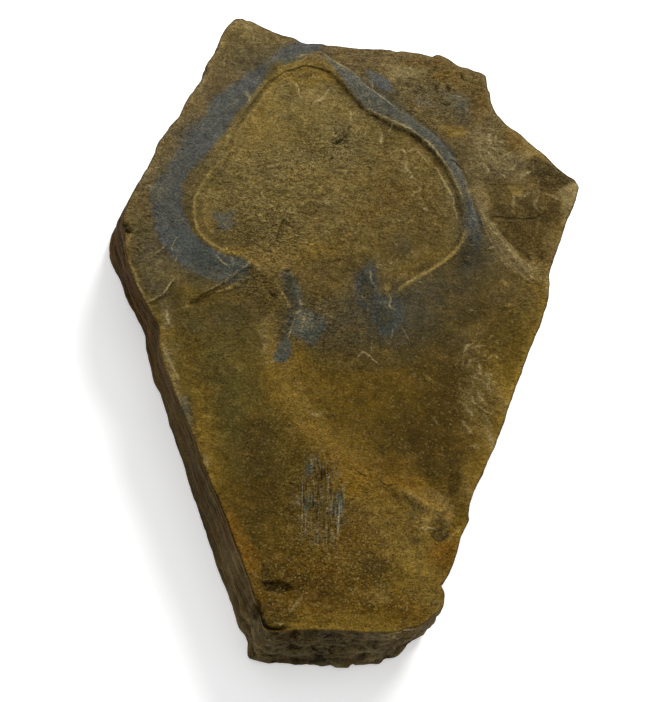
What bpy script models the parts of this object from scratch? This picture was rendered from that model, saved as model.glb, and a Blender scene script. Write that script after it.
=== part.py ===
"""Carpoid fossil: one loose, broken slab of iron-stained siltstone with the
heart-shaped impression of a carpoid's theca and its bent tail on one bedding
face.

The slab lies on its back. +Z points up out of the fossil face, +Y runs along
the slab from the tail towards the blunt end of the theca, +X to the right of
the face. The origin is the centre of the slab's footprint box, on the surface
it rests on. Lengths in this file are millimetres until the last step, which
writes metres.
"""
import math

import bmesh
import bpy
import numpy as np
from mathutils import Vector
from mathutils.geometry import delaunay_2d_cdt

# ---------------------------------------------------------------- dimensions
THICKNESS = 24.0        # back to the general level of the fossil face
EDGE_SPACING = 2.3      # facet length round the outline
FACE_SPACING = 2.15     # facet size on the fossil face
BACK_SPACING = 6.5      # facet size on the back
WALL_LEVELS = (0.0, 0.045, 0.11, 0.24, 0.39, 0.55, 0.72, 0.88)  # of THICKNESS
BASE_CHAMFER = 0.7      # worn lower edge: how far the foot is drawn in

THECA_SINK = 0.95       # the theca's floor below the stone along the sharp margin
FLOOR_SHARE = 0.30      # share of that sink left in the middle of the theca
RIM_HEIGHT = 0.28       # fine raised thread just inside the margin
CORD_HEIGHT = 0.50      # rounded cord of stone that follows the right margin
TAIL_HEIGHT = 1.10      # low rounded ridge of the tail
STONE = (0.135, 0.098, 0.036, 1.0)

# --------------------------------------------------------------- the outline
# (x, y, foot): the fossil face's edge, clockwise, and how far the foot of the
# wall stands outside (+) or inside (-) that edge.
OUTLINE = [
    # top-left corner and the slope down from it
    (-27.6, 71.8, -0.4), (-24.8, 71.8, 0.0), (-19.2, 69.6, 0.3),
    (-14.1, 68.3, 0.5), (-12.0, 67.3, 0.6),
    # long straight top edge
    (-8.3, 67.4, 0.5), (-1.5, 67.3, 0.1), (4.9, 67.5, -0.3),
    (10.8, 67.9, -0.5), (15.3, 67.8, -0.2), (18.4, 67.2, 0.2),
    # small knob at its right end, then the upper right corner
    (19.9, 67.8, 0.4), (22.0, 67.3, 0.6), (24.9, 65.6, 0.7),
    (28.0, 64.9, 0.5), (30.8, 63.9, 0.2), (31.4, 62.9, 0.0),
    # scooped shoulder
    (32.0, 59.2, -0.4), (32.4, 56.4, -0.6), (34.1, 52.9, -0.5),
    (35.9, 51.1, -0.2),
    # diagonal edge down to the nose on the right
    (38.9, 48.9, 0.2), (41.9, 46.3, 0.5), (45.2, 43.4, 0.3),
    (47.7, 40.9, 0.0), (50.0, 39.2, -0.4),
    # nose
    (51.7, 38.3, -0.8), (52.5, 36.9, -1.0), (51.9, 34.5, -0.8),
    (51.0, 31.9, -0.6),
    # long right edge
    (49.5, 28.7, -0.4), (48.1, 24.6, 0.0), (46.5, 20.2, 0.4),
    (44.8, 15.1, 0.6), (44.3, 10.7, 0.5), (43.6, 7.0, 0.2),
    (42.5, 3.3, -0.2), (40.5, -1.4, -0.5), (38.6, -5.8, -0.6),
    (36.6, -11.4, -0.3), (34.6, -16.2, 0.1), (32.1, -23.5, 0.5),
    (29.0, -30.7, 0.6), (27.1, -34.4, 0.4), (25.5, -38.0, 0.2),
    (24.5, -41.4, 0.0), (24.3, -44.0, -0.2), (23.5, -45.8, -0.1),
    (22.4, -47.7, 0.1), (21.8, -50.1, 0.3), (20.9, -52.9, 0.5),
    (18.9, -57.2, 0.7),
    # small bite near the foot of the right edge, then the lower right corner
    (17.7, -58.5, 1.0), (18.3, -59.9, 1.5), (18.5, -61.1, 1.8),
    (18.0, -63.6, 0.8), (16.2, -64.9, 0.1), (14.7, -66.4, 0.2),
    (12.1, -67.7, 1.2), (9.8, -68.2, 1.7), (8.9, -68.9, 2.0),
    # bottom edge
    (3.7, -69.3, 2.2), (-1.1, -69.3, 2.5), (-5.8, -69.2, 2.6),
    (-11.8, -69.3, 2.1), (-15.0, -69.9, 1.7), (-18.1, -69.9, 0.9),
    # lower left corner and the long left edge
    (-19.6, -67.5, -0.5), (-20.2, -64.9, 0.0), (-21.2, -63.0, 0.0),
    (-22.9, -58.0, 0.25), (-25.4, -52.0, 0.35), (-27.4, -46.6, 0.1),
    (-29.9, -40.9, -0.3), (-32.5, -35.2, -0.8), (-34.6, -29.3, -0.9),
    (-36.9, -23.9, -1.2), (-38.5, -20.5, -1.6), (-40.3, -15.8, -2.0),
    (-41.5, -13.2, -2.1), (-42.3, -10.1, -1.5),
    # stepped notch in the left edge
    (-42.4, -7.8, -0.9), (-42.8, -4.4, -0.4), (-44.4, -2.3, -1.6),
    (-45.8, 0.2, -2.8),
    # undercut upper left wall
    (-48.3, 5.0, -3.1), (-49.5, 8.2, -2.5), (-50.3, 11.0, -1.9),
    (-50.8, 15.2, -0.7),
    # bulging left corner
    (-51.1, 19.5, 0.8), (-50.0, 23.7, 2.1), (-48.6, 27.2, 2.5),
    (-47.2, 30.2, 1.3),
    # long upper left edge back to the top
    (-45.6, 33.8, 0.2), (-44.1, 38.4, -0.2), (-42.0, 42.0, -0.4),
    (-39.9, 45.2, -0.3), (-38.6, 48.8, 0.0), (-36.5, 52.6, 0.2),
    (-34.4, 56.9, 0.3), (-33.6, 60.1, 0.2), (-31.9, 63.3, 0.0),
    (-31.0, 66.5, -0.2), (-29.3, 69.8, -0.4),
]

# ---------------------------------------------------------------- the fossil
# Theca margin, clockwise from the shoulder on the left. The third number is
# the share of THECA_SINK by which the stone stands above the theca there.
THECA = [
    (-28.6, 42.8, 0.42), (-26.0, 47.7, 0.40), (-22.5, 53.4, 0.40),
    (-20.4, 56.3, 0.42), (-15.9, 59.6, 0.50),
    # blunt apex
    (-10.1, 61.4, 0.60), (-6.1, 60.8, 0.72), (-2.6, 57.4, 0.82),
    # straight run down the upper right side
    (0.1, 54.1, 0.86), (3.4, 51.1, 0.88), (7.8, 48.8, 0.88),
    (13.0, 46.7, 0.88), (16.2, 44.4, 0.88), (19.4, 41.0, 0.86),
    (21.6, 37.5, 0.82), (23.9, 32.4, 0.74), (24.9, 26.6, 0.62),
    # right lobe
    (25.3, 21.6, 0.50), (23.1, 17.9, 0.40), (18.8, 14.0, 0.32),
    (13.4, 9.9, 0.28), (9.1, 6.4, 0.20),
    # open neck between the lobes, where the tail leaves
    (4.0, 3.0, 0.05), (-3.0, 1.0, 0.00), (-9.5, 0.2, 0.05),
    (-14.7, 1.5, 0.15),
    # left lobe
    (-16.4, 4.5, 0.25), (-18.9, 7.9, 0.30), (-22.1, 10.4, 0.32),
    (-26.1, 12.9, 0.35), (-29.9, 14.1, 0.38), (-33.7, 16.2, 0.40),
    (-35.5, 19.9, 0.42), (-35.7, 25.3, 0.45), (-33.7, 30.1, 0.48),
    (-30.4, 35.0, 0.50),
]
# Cord of stone outside the right margin: (x, y, half width).
CORD = [
    (-12.0, 63.0, 0.8), (-8.0, 63.4, 1.2), (-4.5, 61.6, 1.6),
    (-1.2, 58.6, 1.8), (2.6, 55.2, 2.1), (7.2, 52.2, 2.1), (12.0, 49.6, 1.8),
    (16.6, 46.6, 1.5), (20.0, 43.0, 1.4), (22.9, 38.8, 1.3),
    (25.2, 33.4, 1.3), (26.6, 27.0, 1.4), (28.2, 20.0, 1.5),
]
# Tail: (x, y, half width, share of TAIL_HEIGHT). It leaves the neck, bends
# left, then swings down to the right and out towards the lower right edge.
TAIL = [
    (-14.0, 0.0, 3.4, 0.15), (-16.0, -7.0, 3.6, 0.25),
    (-15.5, -14.0, 4.2, 0.40), (-12.8, -21.5, 4.9, 0.60),
    (-7.5, -28.5, 5.4, 0.75), (-0.8, -34.5, 5.6, 0.85),
    (6.9, -39.6, 5.4, 1.00), (14.0, -43.6, 4.6, 1.00),
    (20.2, -48.0, 3.6, 0.70),
]
# Bedding steps: the stone to the right of a line, walking along it, drops by
# the first number, comes back up over the second, and the fall itself is as
# wide as the third.
STEPS = [
    # main ledge below the left lobe
    ([(-22.4, 11.4), (-24.6, 9.6), (-26.9, 7.9), (-28.8, 6.3), (-31.1, 4.4),
      (-33.4, 3.1), (-35.2, 1.5), (-37.6, -0.6)][::-1], 0.70, 6.0, 0.5),
    # shell-like flake scar at the left edge
    ([(-46.6, 0.0), (-43.7, 0.7), (-42.0, 2.4), (-40.8, 4.2), (-39.3, 6.6)],
     0.55, 6.0, 0.5),
    # fainter scar above it
    ([(-50.4, 8.6), (-47.0, 9.9), (-44.4, 11.3), (-42.1, 13.1),
      (-39.8, 14.9)], 0.35, 5.0, 0.5),
    # edge of the flake that covers the right shoulder
    ([(45.5, 10.6), (40.4, 15.2), (37.0, 17.9), (34.0, 21.1), (32.2, 23.5),
      (30.3, 26.1), (27.7, 31.3), (26.2, 36.0), (24.4, 40.5)][::-1],
     0.45, 9.0, 2.6),
    # crest of the tail where it breaks towards the right edge
    ([(4.6, -38.6), (6.9, -38.7), (9.6, -39.0), (12.1, -40.2), (14.3, -41.8),
      (16.0, -43.3), (17.8, -44.6), (20.6, -47.0)], 0.70, 3.6, 2.2),
]
# Hollows and swells: (x, y, radius along x, radius along y, height).
LUMPS = [
    (21.0, -24.0, 14.0, 12.0, -0.75),   # dark hollow right of the tail
    (-16.9, -60.6, 3.4, 1.2, -0.55),    # long pit in the lower left corner
    (-16.5, -68.4, 3.2, 0.9, -0.9),     # crevice in the lower left corner
    (-19.4, -66.6, 1.0, 2.2, -0.9),
    (17.8, -48.0, 2.6, 1.6, -0.8),      # chip where the tail breaks off
    (-30.0, -34.0, 9.0, 20.0, -0.45),   # long shallow trough on the left
    (42.0, 33.0, 10.0, 12.0, 0.35),     # swell of the right shoulder
    (-36.0, 40.0, 8.0, 16.0, 0.25),     # swell of the upper left flank
    (-4.0, 26.0, 22.0, 17.0, 0.35),     # slightly arched floor of the theca
    (2.0, -56.0, 18.0, 12.0, 0.25),
]
# Flakes missing from the back, near its rim: (x, y, radius x, radius y, depth)
BACK_SCARS = [
    (33.0, 44.0, 26.0, 20.0, 2.4),
    (-41.0, 4.0, 15.0, 22.0, 1.8),
    (24.0, -38.0, 14.0, 22.0, 1.6),
    (-22.0, 66.0, 17.0, 11.0, 1.5),
    (-8.0, -68.0, 14.0, 8.0, 1.2),
]


# ------------------------------------------------------------------ geometry
def resample(points, spacing, closed):
    """Catmull-Rom curve through POINTS, every SPACING. Extra columns ride along."""
    pts = np.array(points, float)
    n = len(pts)
    dense = []
    for i in range(n if closed else n - 1):
        if closed:
            a, b, c, d = (pts[(i + k) % n] for k in (-1, 0, 1, 2))
        else:
            a, b, c, d = (pts[min(max(i + k, 0), n - 1)] for k in (-1, 0, 1, 2))
        for t in np.linspace(0, 1, 12, endpoint=False):
            dense.append(0.5 * (2 * b + (c - a) * t
                                + (2 * a - 5 * b + 4 * c - d) * t ** 2
                                + (3 * b - a - 3 * c + d) * t ** 3))
    dense.append(pts[0] if closed else pts[-1])
    dense = np.array(dense)
    run = np.r_[0, np.cumsum(np.hypot(*np.diff(dense[:, :2], axis=0).T))]
    count = max(3, round(run[-1] / spacing))
    at = np.linspace(0, run[-1], count + 1)
    out = np.array([np.interp(at, run, col) for col in dense.T]).T
    return out[:-1] if closed else out


def nearest(x, y, curve):
    """For each point: distance to CURVE, side (+1 left of its direction), and
    the curve's columns at the nearest place, with the run along it last."""
    a, b = curve[:-1], curve[1:]
    run = np.r_[0, np.cumsum(np.hypot(*(b - a)[:, :2].T))]
    best = np.full(x.shape, 1e9)
    side = np.ones_like(x)
    cols = np.zeros(x.shape + (curve.shape[1] - 1,))
    for k in range(len(a)):
        d = b[k, :2] - a[k, :2]
        ll = d @ d
        if ll < 1e-12:
            continue
        t = np.clip(((x - a[k, 0]) * d[0] + (y - a[k, 1]) * d[1]) / ll, 0, 1)
        ex, ey = x - a[k, 0] - t * d[0], y - a[k, 1] - t * d[1]
        dist = np.hypot(ex, ey)
        hit = dist < best
        best = np.where(hit, dist, best)
        side = np.where(hit, np.where(d[0] * ey - d[1] * ex >= 0, 1.0, -1.0), side)
        for c in range(2, curve.shape[1]):
            v = a[k, c] + t * (b[k, c] - a[k, c])
            cols[..., c - 2] = np.where(hit, v, cols[..., c - 2])
        cols[..., -1] = np.where(hit, run[k] + t * math.sqrt(ll), cols[..., -1])
    return best, side, cols


def inside(x, y, loop):
    """Even-odd test against a closed loop."""
    odd = np.zeros(x.shape, bool)
    for (x0, y0), (x1, y1) in zip(loop[:, :2], np.roll(loop[:, :2], -1, axis=0)):
        cross = (y0 > y) != (y1 > y)
        with np.errstate(divide="ignore", invalid="ignore"):
            at = x0 + (y - y0) * (x1 - x0) / (y1 - y0)
        odd ^= cross & (x < at)
    return odd


def smooth(lo, hi, v):
    t = np.clip((v - lo) / (hi - lo), 0, 1)
    return t * t * (3 - 2 * t)


def noise(x, y, z, size, seed):
    """Gradient noise, about -1 to 1, with features SIZE across."""
    p = np.stack(np.broadcast_arrays(x, y, z), -1).astype(float) / size + 7.3 * seed
    i = np.floor(p).astype(np.int64)
    f = p - i
    w = f * f * f * (f * (f * 6 - 15) + 10)
    total = np.zeros(p.shape[:-1])
    for corner in range(8):
        c = np.array([corner & 1, corner >> 1 & 1, corner >> 2 & 1])
        k = i + c
        h = (k[..., 0] * 73856093 ^ k[..., 1] * 19349663 ^ k[..., 2] * 83492791
             ^ (seed + 1) * 97531) & 0xFFFFFFFF
        h = ((h ^ h >> 15) * 2246822519) & 0xFFFFFFFF
        h = ((h ^ h >> 13) * 3266489917) & 0xFFFFFFFF
        h ^= h >> 16
        turn = (h & 0xFFFF) / 65536.0 * 2 * math.pi
        rise = (h >> 16 & 0xFFFF) / 32768.0 - 1.0
        flat = np.sqrt(1 - np.clip(rise * rise, 0, 1))
        e = f - c
        dot = e[..., 0] * flat * np.cos(turn) + e[..., 1] * flat * np.sin(turn) + e[..., 2] * rise
        share = np.prod(np.where(c == 1, w, 1 - w), axis=-1)
        total += share * dot
    return total * 1.6


def ends(run, length, fade):
    return smooth(0, fade, run) * smooth(0, fade, length - run)


def relief(x, y, theca, cord, tail, steps):
    """Height of the fossil face above its general level."""
    z = 0.28 * noise(x, y, 0.0, 26.0, 1) + 0.13 * noise(x, y, 0.0, 9.0, 2)

    # the theca: a floor sunk below the stone, with a moat just inside the sharp
    # margin and a fine raised thread where the margin is low
    loop = np.vstack([theca, theca[:1]])
    d, _, cols = nearest(x, y, loop)
    sink = cols[..., 0]
    deep = np.where(inside(x, y, theca), d, -d)
    floor = THECA_SINK * (FLOOR_SHARE + (sink - FLOOR_SHARE) * np.exp(-np.maximum(deep, 0) / 5.5))
    z = z - floor * smooth(-0.25, 0.55, deep)
    low = 1 - smooth(0.5, 0.9, sink)
    there = smooth(0.08, 0.25, sink)
    z = z + RIM_HEIGHT * low * there * np.exp(-((deep - 0.5) / 0.55) ** 2)

    # the cord of stone beside it
    length = np.hypot(*np.diff(cord[:, :2], axis=0).T).sum()
    d, _, cols = nearest(x, y, cord)
    z = z + CORD_HEIGHT * np.exp(-(d / cols[..., 0]) ** 4) * ends(cols[..., 1], length, 6.0)

    # the tail
    length = np.hypot(*np.diff(tail[:, :2], axis=0).T).sum()
    d, _, cols = nearest(x, y, tail)
    body = np.exp(-(d / cols[..., 0]) ** 2 * 1.1)
    z = z + TAIL_HEIGHT * cols[..., 1] * body * smooth(0, 5, cols[..., 2])

    for line, drop, reach, width in steps:
        length = np.hypot(*np.diff(line[:, :2], axis=0).T).sum()
        d, side, cols = nearest(x, y, line)
        down = smooth(-0.3, width, -side * d) * np.exp(-np.where(side < 0, d, 0) / reach)
        z = z - drop * down * ends(cols[..., 0], length, 3.0 + 0.9 * d)

    for cx, cy, rx, ry, h in LUMPS:
        z = z + h * np.exp(-((x - cx) / rx) ** 2 - ((y - cy) / ry) ** 2)
    return z


def back_height(x, y):
    """Height of the back above the surface: flat, but for the missing flakes."""
    up = np.zeros_like(x)
    for cx, cy, rx, ry, depth in BACK_SCARS:
        q = ((x - cx) / rx) ** 2 + ((y - cy) / ry) ** 2
        q = q + 0.22 * noise(x, y, 5.0, 7.0, 11)
        up = np.maximum(up, depth * smooth(1.0, 0.35, q))
    return up


def wall_offset(px, py, z, foot, up):
    """How far the wall stands out from the outline at height share UP (0 foot, 1 face)."""
    lean = foot * (1 - up)
    quiet = smooth(1.0, 0.80, up)
    chunks = 0.80 * noise(px, py, z * 1.6, 9.0, 21) + 0.30 * noise(px, py, z * 2.0, 5.0, 22)
    # the thicker beds stand out or weather back by turns
    beds = 0.30 * np.sin(z * 0.72 + 0.9 * noise(px, py, 0.0, 22.0, 23))
    return lean + quiet * (chunks + beds) * smooth(-0.05, 0.15, up)


def hex_grid(lo, hi, spacing):
    rows = np.arange(lo[1], hi[1], spacing * math.sqrt(3) / 2)
    cols = np.arange(lo[0], hi[0], spacing)
    x, y = np.meshgrid(cols, rows)
    x = x + np.where(np.arange(len(rows)) % 2, spacing / 2, 0)[:, None]
    return x.ravel(), y.ravel()


def along(curve, offset):
    """The points of CURVE moved OFFSET to the left of its direction."""
    t = np.gradient(curve[:, :2], axis=0)
    t /= np.hypot(*t.T)[:, None]
    return curve[:, :2] + offset * np.c_[-t[:, 1], t[:, 0]]


class Scatter:
    """Points no closer together than asked, inside RIM and clear of it, with
    the edges that the facets have to follow."""

    def __init__(self, rim, clear):
        self.rim, self.clear = rim, clear
        self.points, self.edges, self.grid = [list(p) for p in rim], [], {}

    def free(self, p, least):
        i, j = int(p[0] // 2), int(p[1] // 2)
        return not any((p[0] - q[0]) ** 2 + (p[1] - q[1]) ** 2 < least * least
                       for a in (-1, 0, 1) for b in (-1, 0, 1)
                       for q in self.grid.get((i + a, j + b), ()))

    def add(self, pts, least, joined=False):
        pts = np.asarray(pts)
        d, _, _ = nearest(pts[:, 0], pts[:, 1], np.vstack([self.rim, self.rim[:1]]))
        good = inside(pts[:, 0], pts[:, 1], self.rim) & (d > self.clear)
        last, fresh = None, []
        for p, ok in zip(pts, good):
            if not (ok and self.free(p, least)):
                last = None
                continue
            if joined and fresh and (p[0] - fresh[-1][0]) ** 2 + (p[1] - fresh[-1][1]) ** 2 < 0.6:
                continue
            self.points.append(list(p))
            fresh.append(p)
            if joined and last is not None:
                self.edges.append((last, len(self.points) - 1))
            last = len(self.points) - 1
            if not joined:
                self.grid.setdefault((int(p[0] // 2), int(p[1] // 2)), []).append(p)
        if joined:
            for p in fresh:
                self.grid.setdefault((int(p[0] // 2), int(p[1] // 2)), []).append(p)

    def triangles(self):
        loop = [list(range(len(self.rim)))]
        verts, _, faces, origin, _, _ = delaunay_2d_cdt(
            [Vector(p) for p in self.points], self.edges, loop, 1, 1e-7)
        # rim points first and in order, then the rest
        count = len(self.rim)
        seat, rest = {}, []
        for i, o in enumerate(origin):
            first = min(o) if o else None
            if first is not None and first < count:
                seat[i] = first
            else:
                seat[i] = count + len(rest)
                rest.append(tuple(verts[i]))
        assert sum(1 for v in seat.values() if v < count) == count
        where = np.vstack([self.rim, np.array(rest)])
        return where, [[seat[i] for i in f] for f in faces]


def build_slab():
    edge = resample(OUTLINE, EDGE_SPACING, True)
    rim, foot = edge[:, :2], edge[:, 2]
    # a broken edge is never quite smooth
    tangent = np.roll(rim, -1, 0) - np.roll(rim, 1, 0)
    tangent /= np.hypot(*tangent.T)[:, None]
    out = np.c_[-tangent[:, 1], tangent[:, 0]]          # clockwise loop: left is outside
    calm = sum(np.roll(out, k, 0) for k in range(-2, 3))
    calm /= np.hypot(*calm.T)[:, None]
    rim = rim + out * (0.16 * noise(rim[:, 0], rim[:, 1], 0.0, 3.1, 31))[:, None]

    theca = resample(THECA, 1.6, True)
    cord = resample(CORD, 1.6, False)
    tail = resample(TAIL, 2.0, False)
    steps = [(resample(line, 1.6, False), *rest) for line, *rest in STEPS]

    # the fossil face: facets follow the margin, the cord and the steps
    scatter = Scatter(rim, 0.95)
    ring = np.vstack([theca, theca[:2]])
    for off in (0.32, -0.62, -1.75):
        scatter.add(along(ring, off)[:-1], 0.6, joined=True)
    for line, *_ in steps:
        for off in (0.4, -0.6):
            scatter.add(along(line, off), 0.6, joined=True)
    scatter.add(along(cord, 0.0), 1.0, joined=True)
    gx, gy = hex_grid(rim.min(0), rim.max(0), FACE_SPACING)
    scatter.add(np.c_[gx, gy], 1.25)
    face, face_tris = scatter.triangles()
    height = THICKNESS + relief(face[:, 0], face[:, 1], theca, cord, tail, steps)
    d, _, _ = nearest(face[:, 0], face[:, 1], np.vstack([rim, rim[:1]]))
    height = height - 0.25 * np.exp(-d / 0.9)

    # walls: rings of points from the foot to just under the face
    count = len(rim)
    rings = []
    for up in WALL_LEVELS:
        z = up * THICKNESS
        off = wall_offset(rim[:, 0], rim[:, 1], z, foot, up)
        drawn = BASE_CHAMFER * (1 - smooth(0, 1.1, z))
        xy = rim + calm * (off - drawn)[:, None]
        rings.append(np.c_[xy, np.full(count, z)])

    # the back: flat where it rests, hollow where flakes are missing
    base = rings[0][:, :2]
    gx, gy = hex_grid(base.min(0), base.max(0), BACK_SPACING)
    scatter = Scatter(base, 3.0)
    scatter.add(np.c_[gx, gy], 1.0)
    back, back_tris = scatter.triangles()
    lift = back_height(back[:, 0], back[:, 1])
    rings[0][:, 2] = lift[:count]
    for k in (1, 2):
        rings[k][:, 2] = np.maximum(rings[k][:, 2], lift[:count] + 0.55 * k)

    verts = []

    def put(p):
        verts.append(p)
        return len(verts) - 1

    face_at = [put((x, y, z)) for (x, y), z in zip(face, height)]
    ring_at = [[put(tuple(p)) for p in ring] for ring in rings]
    back_at = ring_at[0] + [put((x, y, z)) for (x, y), z in zip(back[count:], lift[count:])]
    faces = []

    def turn_up(tri, pts, up):
        a, b, c = (pts[i] for i in tri)
        area = (b[0] - a[0]) * (c[1] - a[1]) - (b[1] - a[1]) * (c[0] - a[0])
        return tri if (area > 0) == up else tri[::-1]

    for tri in face_tris:
        faces.append([face_at[i] for i in turn_up(tri, face, True)])
    for tri in back_tris:
        faces.append([back_at[i] for i in turn_up(tri, back, False)])
    columns = ring_at + [face_at[:count]]
    for low, high in zip(columns, columns[1:]):
        for i in range(count):
            j = (i + 1) % count
            # clockwise loop seen from above: the outside is on the left
            a, b, c, d = low[i], low[j], high[j], high[i]
            if (i + len(faces)) % 2:
                faces += [[b, a, d], [b, d, c]]
            else:
                faces += [[b, a, c], [a, d, c]]
    return verts, faces


def main():
    for thing in list(bpy.data.objects):
        bpy.data.objects.remove(thing, do_unlink=True)

    verts, faces = build_slab()
    mesh = bpy.data.meshes.new("fossil_slab")
    mesh.from_pydata([tuple(0.001 * c for c in v) for v in verts], [], faces)
    bm = bmesh.new()
    bm.from_mesh(mesh)
    bmesh.ops.recalc_face_normals(bm, faces=bm.faces)
    bm.to_mesh(mesh)
    bm.free()
    mesh.shade_smooth()
    mesh.set_sharp_from_angle(angle=math.radians(38))

    slab = bpy.data.objects.new("fossil_slab", mesh)
    bpy.context.scene.collection.objects.link(slab)
    stone = bpy.data.materials.new("iron_stained_siltstone")
    stone.use_nodes = True
    shader = stone.node_tree.nodes["Principled BSDF"]
    shader.inputs["Base Color"].default_value = STONE
    shader.inputs["Roughness"].default_value = 0.62
    shader.inputs["Metallic"].default_value = 0.0
    mesh.materials.append(stone)


main()
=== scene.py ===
import math

import bpy
import numpy as np
from mathutils import Matrix, Vector
from mathutils.geometry import delaunay_2d_cdt


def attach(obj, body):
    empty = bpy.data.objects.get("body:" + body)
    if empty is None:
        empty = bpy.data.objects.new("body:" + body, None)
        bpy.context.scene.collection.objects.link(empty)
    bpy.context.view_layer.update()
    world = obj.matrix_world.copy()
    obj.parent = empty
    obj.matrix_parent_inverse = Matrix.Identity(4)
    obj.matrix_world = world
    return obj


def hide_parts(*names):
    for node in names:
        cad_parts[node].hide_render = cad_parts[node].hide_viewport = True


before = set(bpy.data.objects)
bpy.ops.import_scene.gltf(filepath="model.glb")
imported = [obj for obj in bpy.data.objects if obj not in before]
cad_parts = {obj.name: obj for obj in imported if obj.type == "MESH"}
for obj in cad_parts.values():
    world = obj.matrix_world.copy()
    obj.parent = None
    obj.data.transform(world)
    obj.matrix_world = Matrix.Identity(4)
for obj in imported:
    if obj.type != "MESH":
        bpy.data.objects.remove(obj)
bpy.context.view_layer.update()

# Looks of the carpoid fossil: the slab's fine surface, its stone, a pale floor,
# soft light and the camera. Lengths are millimetres until the mesh is made.

# =====================================================================  camera
# The slab lies on its back and the camera looks down on it, tilted towards its
# tail end (-Y) and its left side (-X), as the specimen is seen.
THICKNESS = 24.0
TARGET = np.array([-5.1, -8.2, THICKNESS])
TILT_Y, TILT_X, DISTANCE = 22.0, 11.0, 400.0
MM_PER_PX, FRAME_W, FRAME_H = 0.215, 665.0, 702.0

back_axis = np.array([-math.tan(math.radians(TILT_X)), -math.tan(math.radians(TILT_Y)), 1.0])
back_axis /= np.linalg.norm(back_axis)
right_axis = np.cross(-back_axis, [0.0, 1.0, 0.0])
right_axis /= np.linalg.norm(right_axis)
up_axis = np.cross(right_axis, -back_axis)
EYE = TARGET + DISTANCE * back_axis
FOCAL_PX = DISTANCE / MM_PER_PX


def at(px, py, z=THICKNESS):
    """The point of the level plane Z that shows at pixel (px, py) of the frame."""
    d = -back_axis * FOCAL_PX + right_axis * (px - FRAME_W / 2) - up_axis * (py - FRAME_H / 2)
    s = (z - EYE[2]) / d[2]
    p = EYE + d * s
    return float(p[0]), float(p[1])


def path(*pixels):
    """A line on the face through pixels; further numbers of each stay as columns."""
    return [at(p[0], p[1]) + tuple(p[2:]) for p in pixels]


# ============================================================  the solid's form
# The same outline, curves and relief as the CAD solid, sampled finer.
THECA_SINK = 0.95
FLOOR_SHARE = 0.30
RIM_HEIGHT = 0.28
CORD_HEIGHT = 0.50
TAIL_HEIGHT = 1.10
BASE_CHAMFER = 0.7

OUTLINE = [
    (-27.6, 71.8, -0.4), (-24.8, 71.8, 0.0), (-19.2, 69.6, 0.3),
    (-14.1, 68.3, 0.5), (-12.0, 67.3, 0.6),
    (-8.3, 67.4, 0.5), (-1.5, 67.3, 0.1), (4.9, 67.5, -0.3),
    (10.8, 67.9, -0.5), (15.3, 67.8, -0.2), (18.4, 67.2, 0.2),
    (19.9, 67.8, 0.4), (22.0, 67.3, 0.6), (24.9, 65.6, 0.7),
    (28.0, 64.9, 0.5), (30.8, 63.9, 0.2), (31.4, 62.9, 0.0),
    (32.0, 59.2, -0.4), (32.4, 56.4, -0.6), (34.1, 52.9, -0.5),
    (35.9, 51.1, -0.2),
    (38.9, 48.9, 0.2), (41.9, 46.3, 0.5), (45.2, 43.4, 0.3),
    (47.7, 40.9, 0.0), (50.0, 39.2, -0.4),
    (51.7, 38.3, -0.8), (52.5, 36.9, -1.0), (51.9, 34.5, -0.8),
    (51.0, 31.9, -0.6),
    (49.5, 28.7, -0.4), (48.1, 24.6, 0.0), (46.5, 20.2, 0.4),
    (44.8, 15.1, 0.6), (44.3, 10.7, 0.5), (43.6, 7.0, 0.2),
    (42.5, 3.3, -0.2), (40.5, -1.4, -0.5), (38.6, -5.8, -0.6),
    (36.6, -11.4, -0.3), (34.6, -16.2, 0.1), (32.1, -23.5, 0.5),
    (29.0, -30.7, 0.6), (27.1, -34.4, 0.4), (25.5, -38.0, 0.2),
    (24.5, -41.4, 0.0), (24.3, -44.0, -0.2), (23.5, -45.8, -0.1),
    (22.4, -47.7, 0.1), (21.8, -50.1, 0.3), (20.9, -52.9, 0.5),
    (18.9, -57.2, 0.7),
    (17.7, -58.5, 1.0), (18.3, -59.9, 1.5), (18.5, -61.1, 1.8),
    (18.0, -63.6, 0.8), (16.2, -64.9, 0.1), (14.7, -66.4, 0.2),
    (12.1, -67.7, 1.2), (9.8, -68.2, 1.7), (8.9, -68.9, 2.0),
    (3.7, -69.3, 2.2), (-1.1, -69.3, 2.5), (-5.8, -69.2, 2.6),
    (-11.8, -69.3, 2.1), (-15.0, -69.9, 1.7), (-18.1, -69.9, 0.9),
    (-19.6, -67.5, -0.5), (-20.2, -64.9, 0.0), (-21.2, -63.0, 0.0),
    (-22.9, -58.0, 0.25), (-25.4, -52.0, 0.35), (-27.4, -46.6, 0.1),
    (-29.9, -40.9, -0.3), (-32.5, -35.2, -0.8), (-34.6, -29.3, -0.9),
    (-36.9, -23.9, -1.2), (-38.5, -20.5, -1.6), (-40.3, -15.8, -2.0),
    (-41.5, -13.2, -2.1), (-42.3, -10.1, -1.5),
    (-42.4, -7.8, -0.9), (-42.8, -4.4, -0.4), (-44.4, -2.3, -1.6),
    (-45.8, 0.2, -2.8),
    (-48.3, 5.0, -3.1), (-49.5, 8.2, -2.5), (-50.3, 11.0, -1.9),
    (-50.8, 15.2, -0.7),
    (-51.1, 19.5, 0.8), (-50.0, 23.7, 2.1), (-48.6, 27.2, 2.5),
    (-47.2, 30.2, 1.3),
    (-45.6, 33.8, 0.2), (-44.1, 38.4, -0.2), (-42.0, 42.0, -0.4),
    (-39.9, 45.2, -0.3), (-38.6, 48.8, 0.0), (-36.5, 52.6, 0.2),
    (-34.4, 56.9, 0.3), (-33.6, 60.1, 0.2), (-31.9, 63.3, 0.0),
    (-31.0, 66.5, -0.2), (-29.3, 69.8, -0.4),
]
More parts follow.
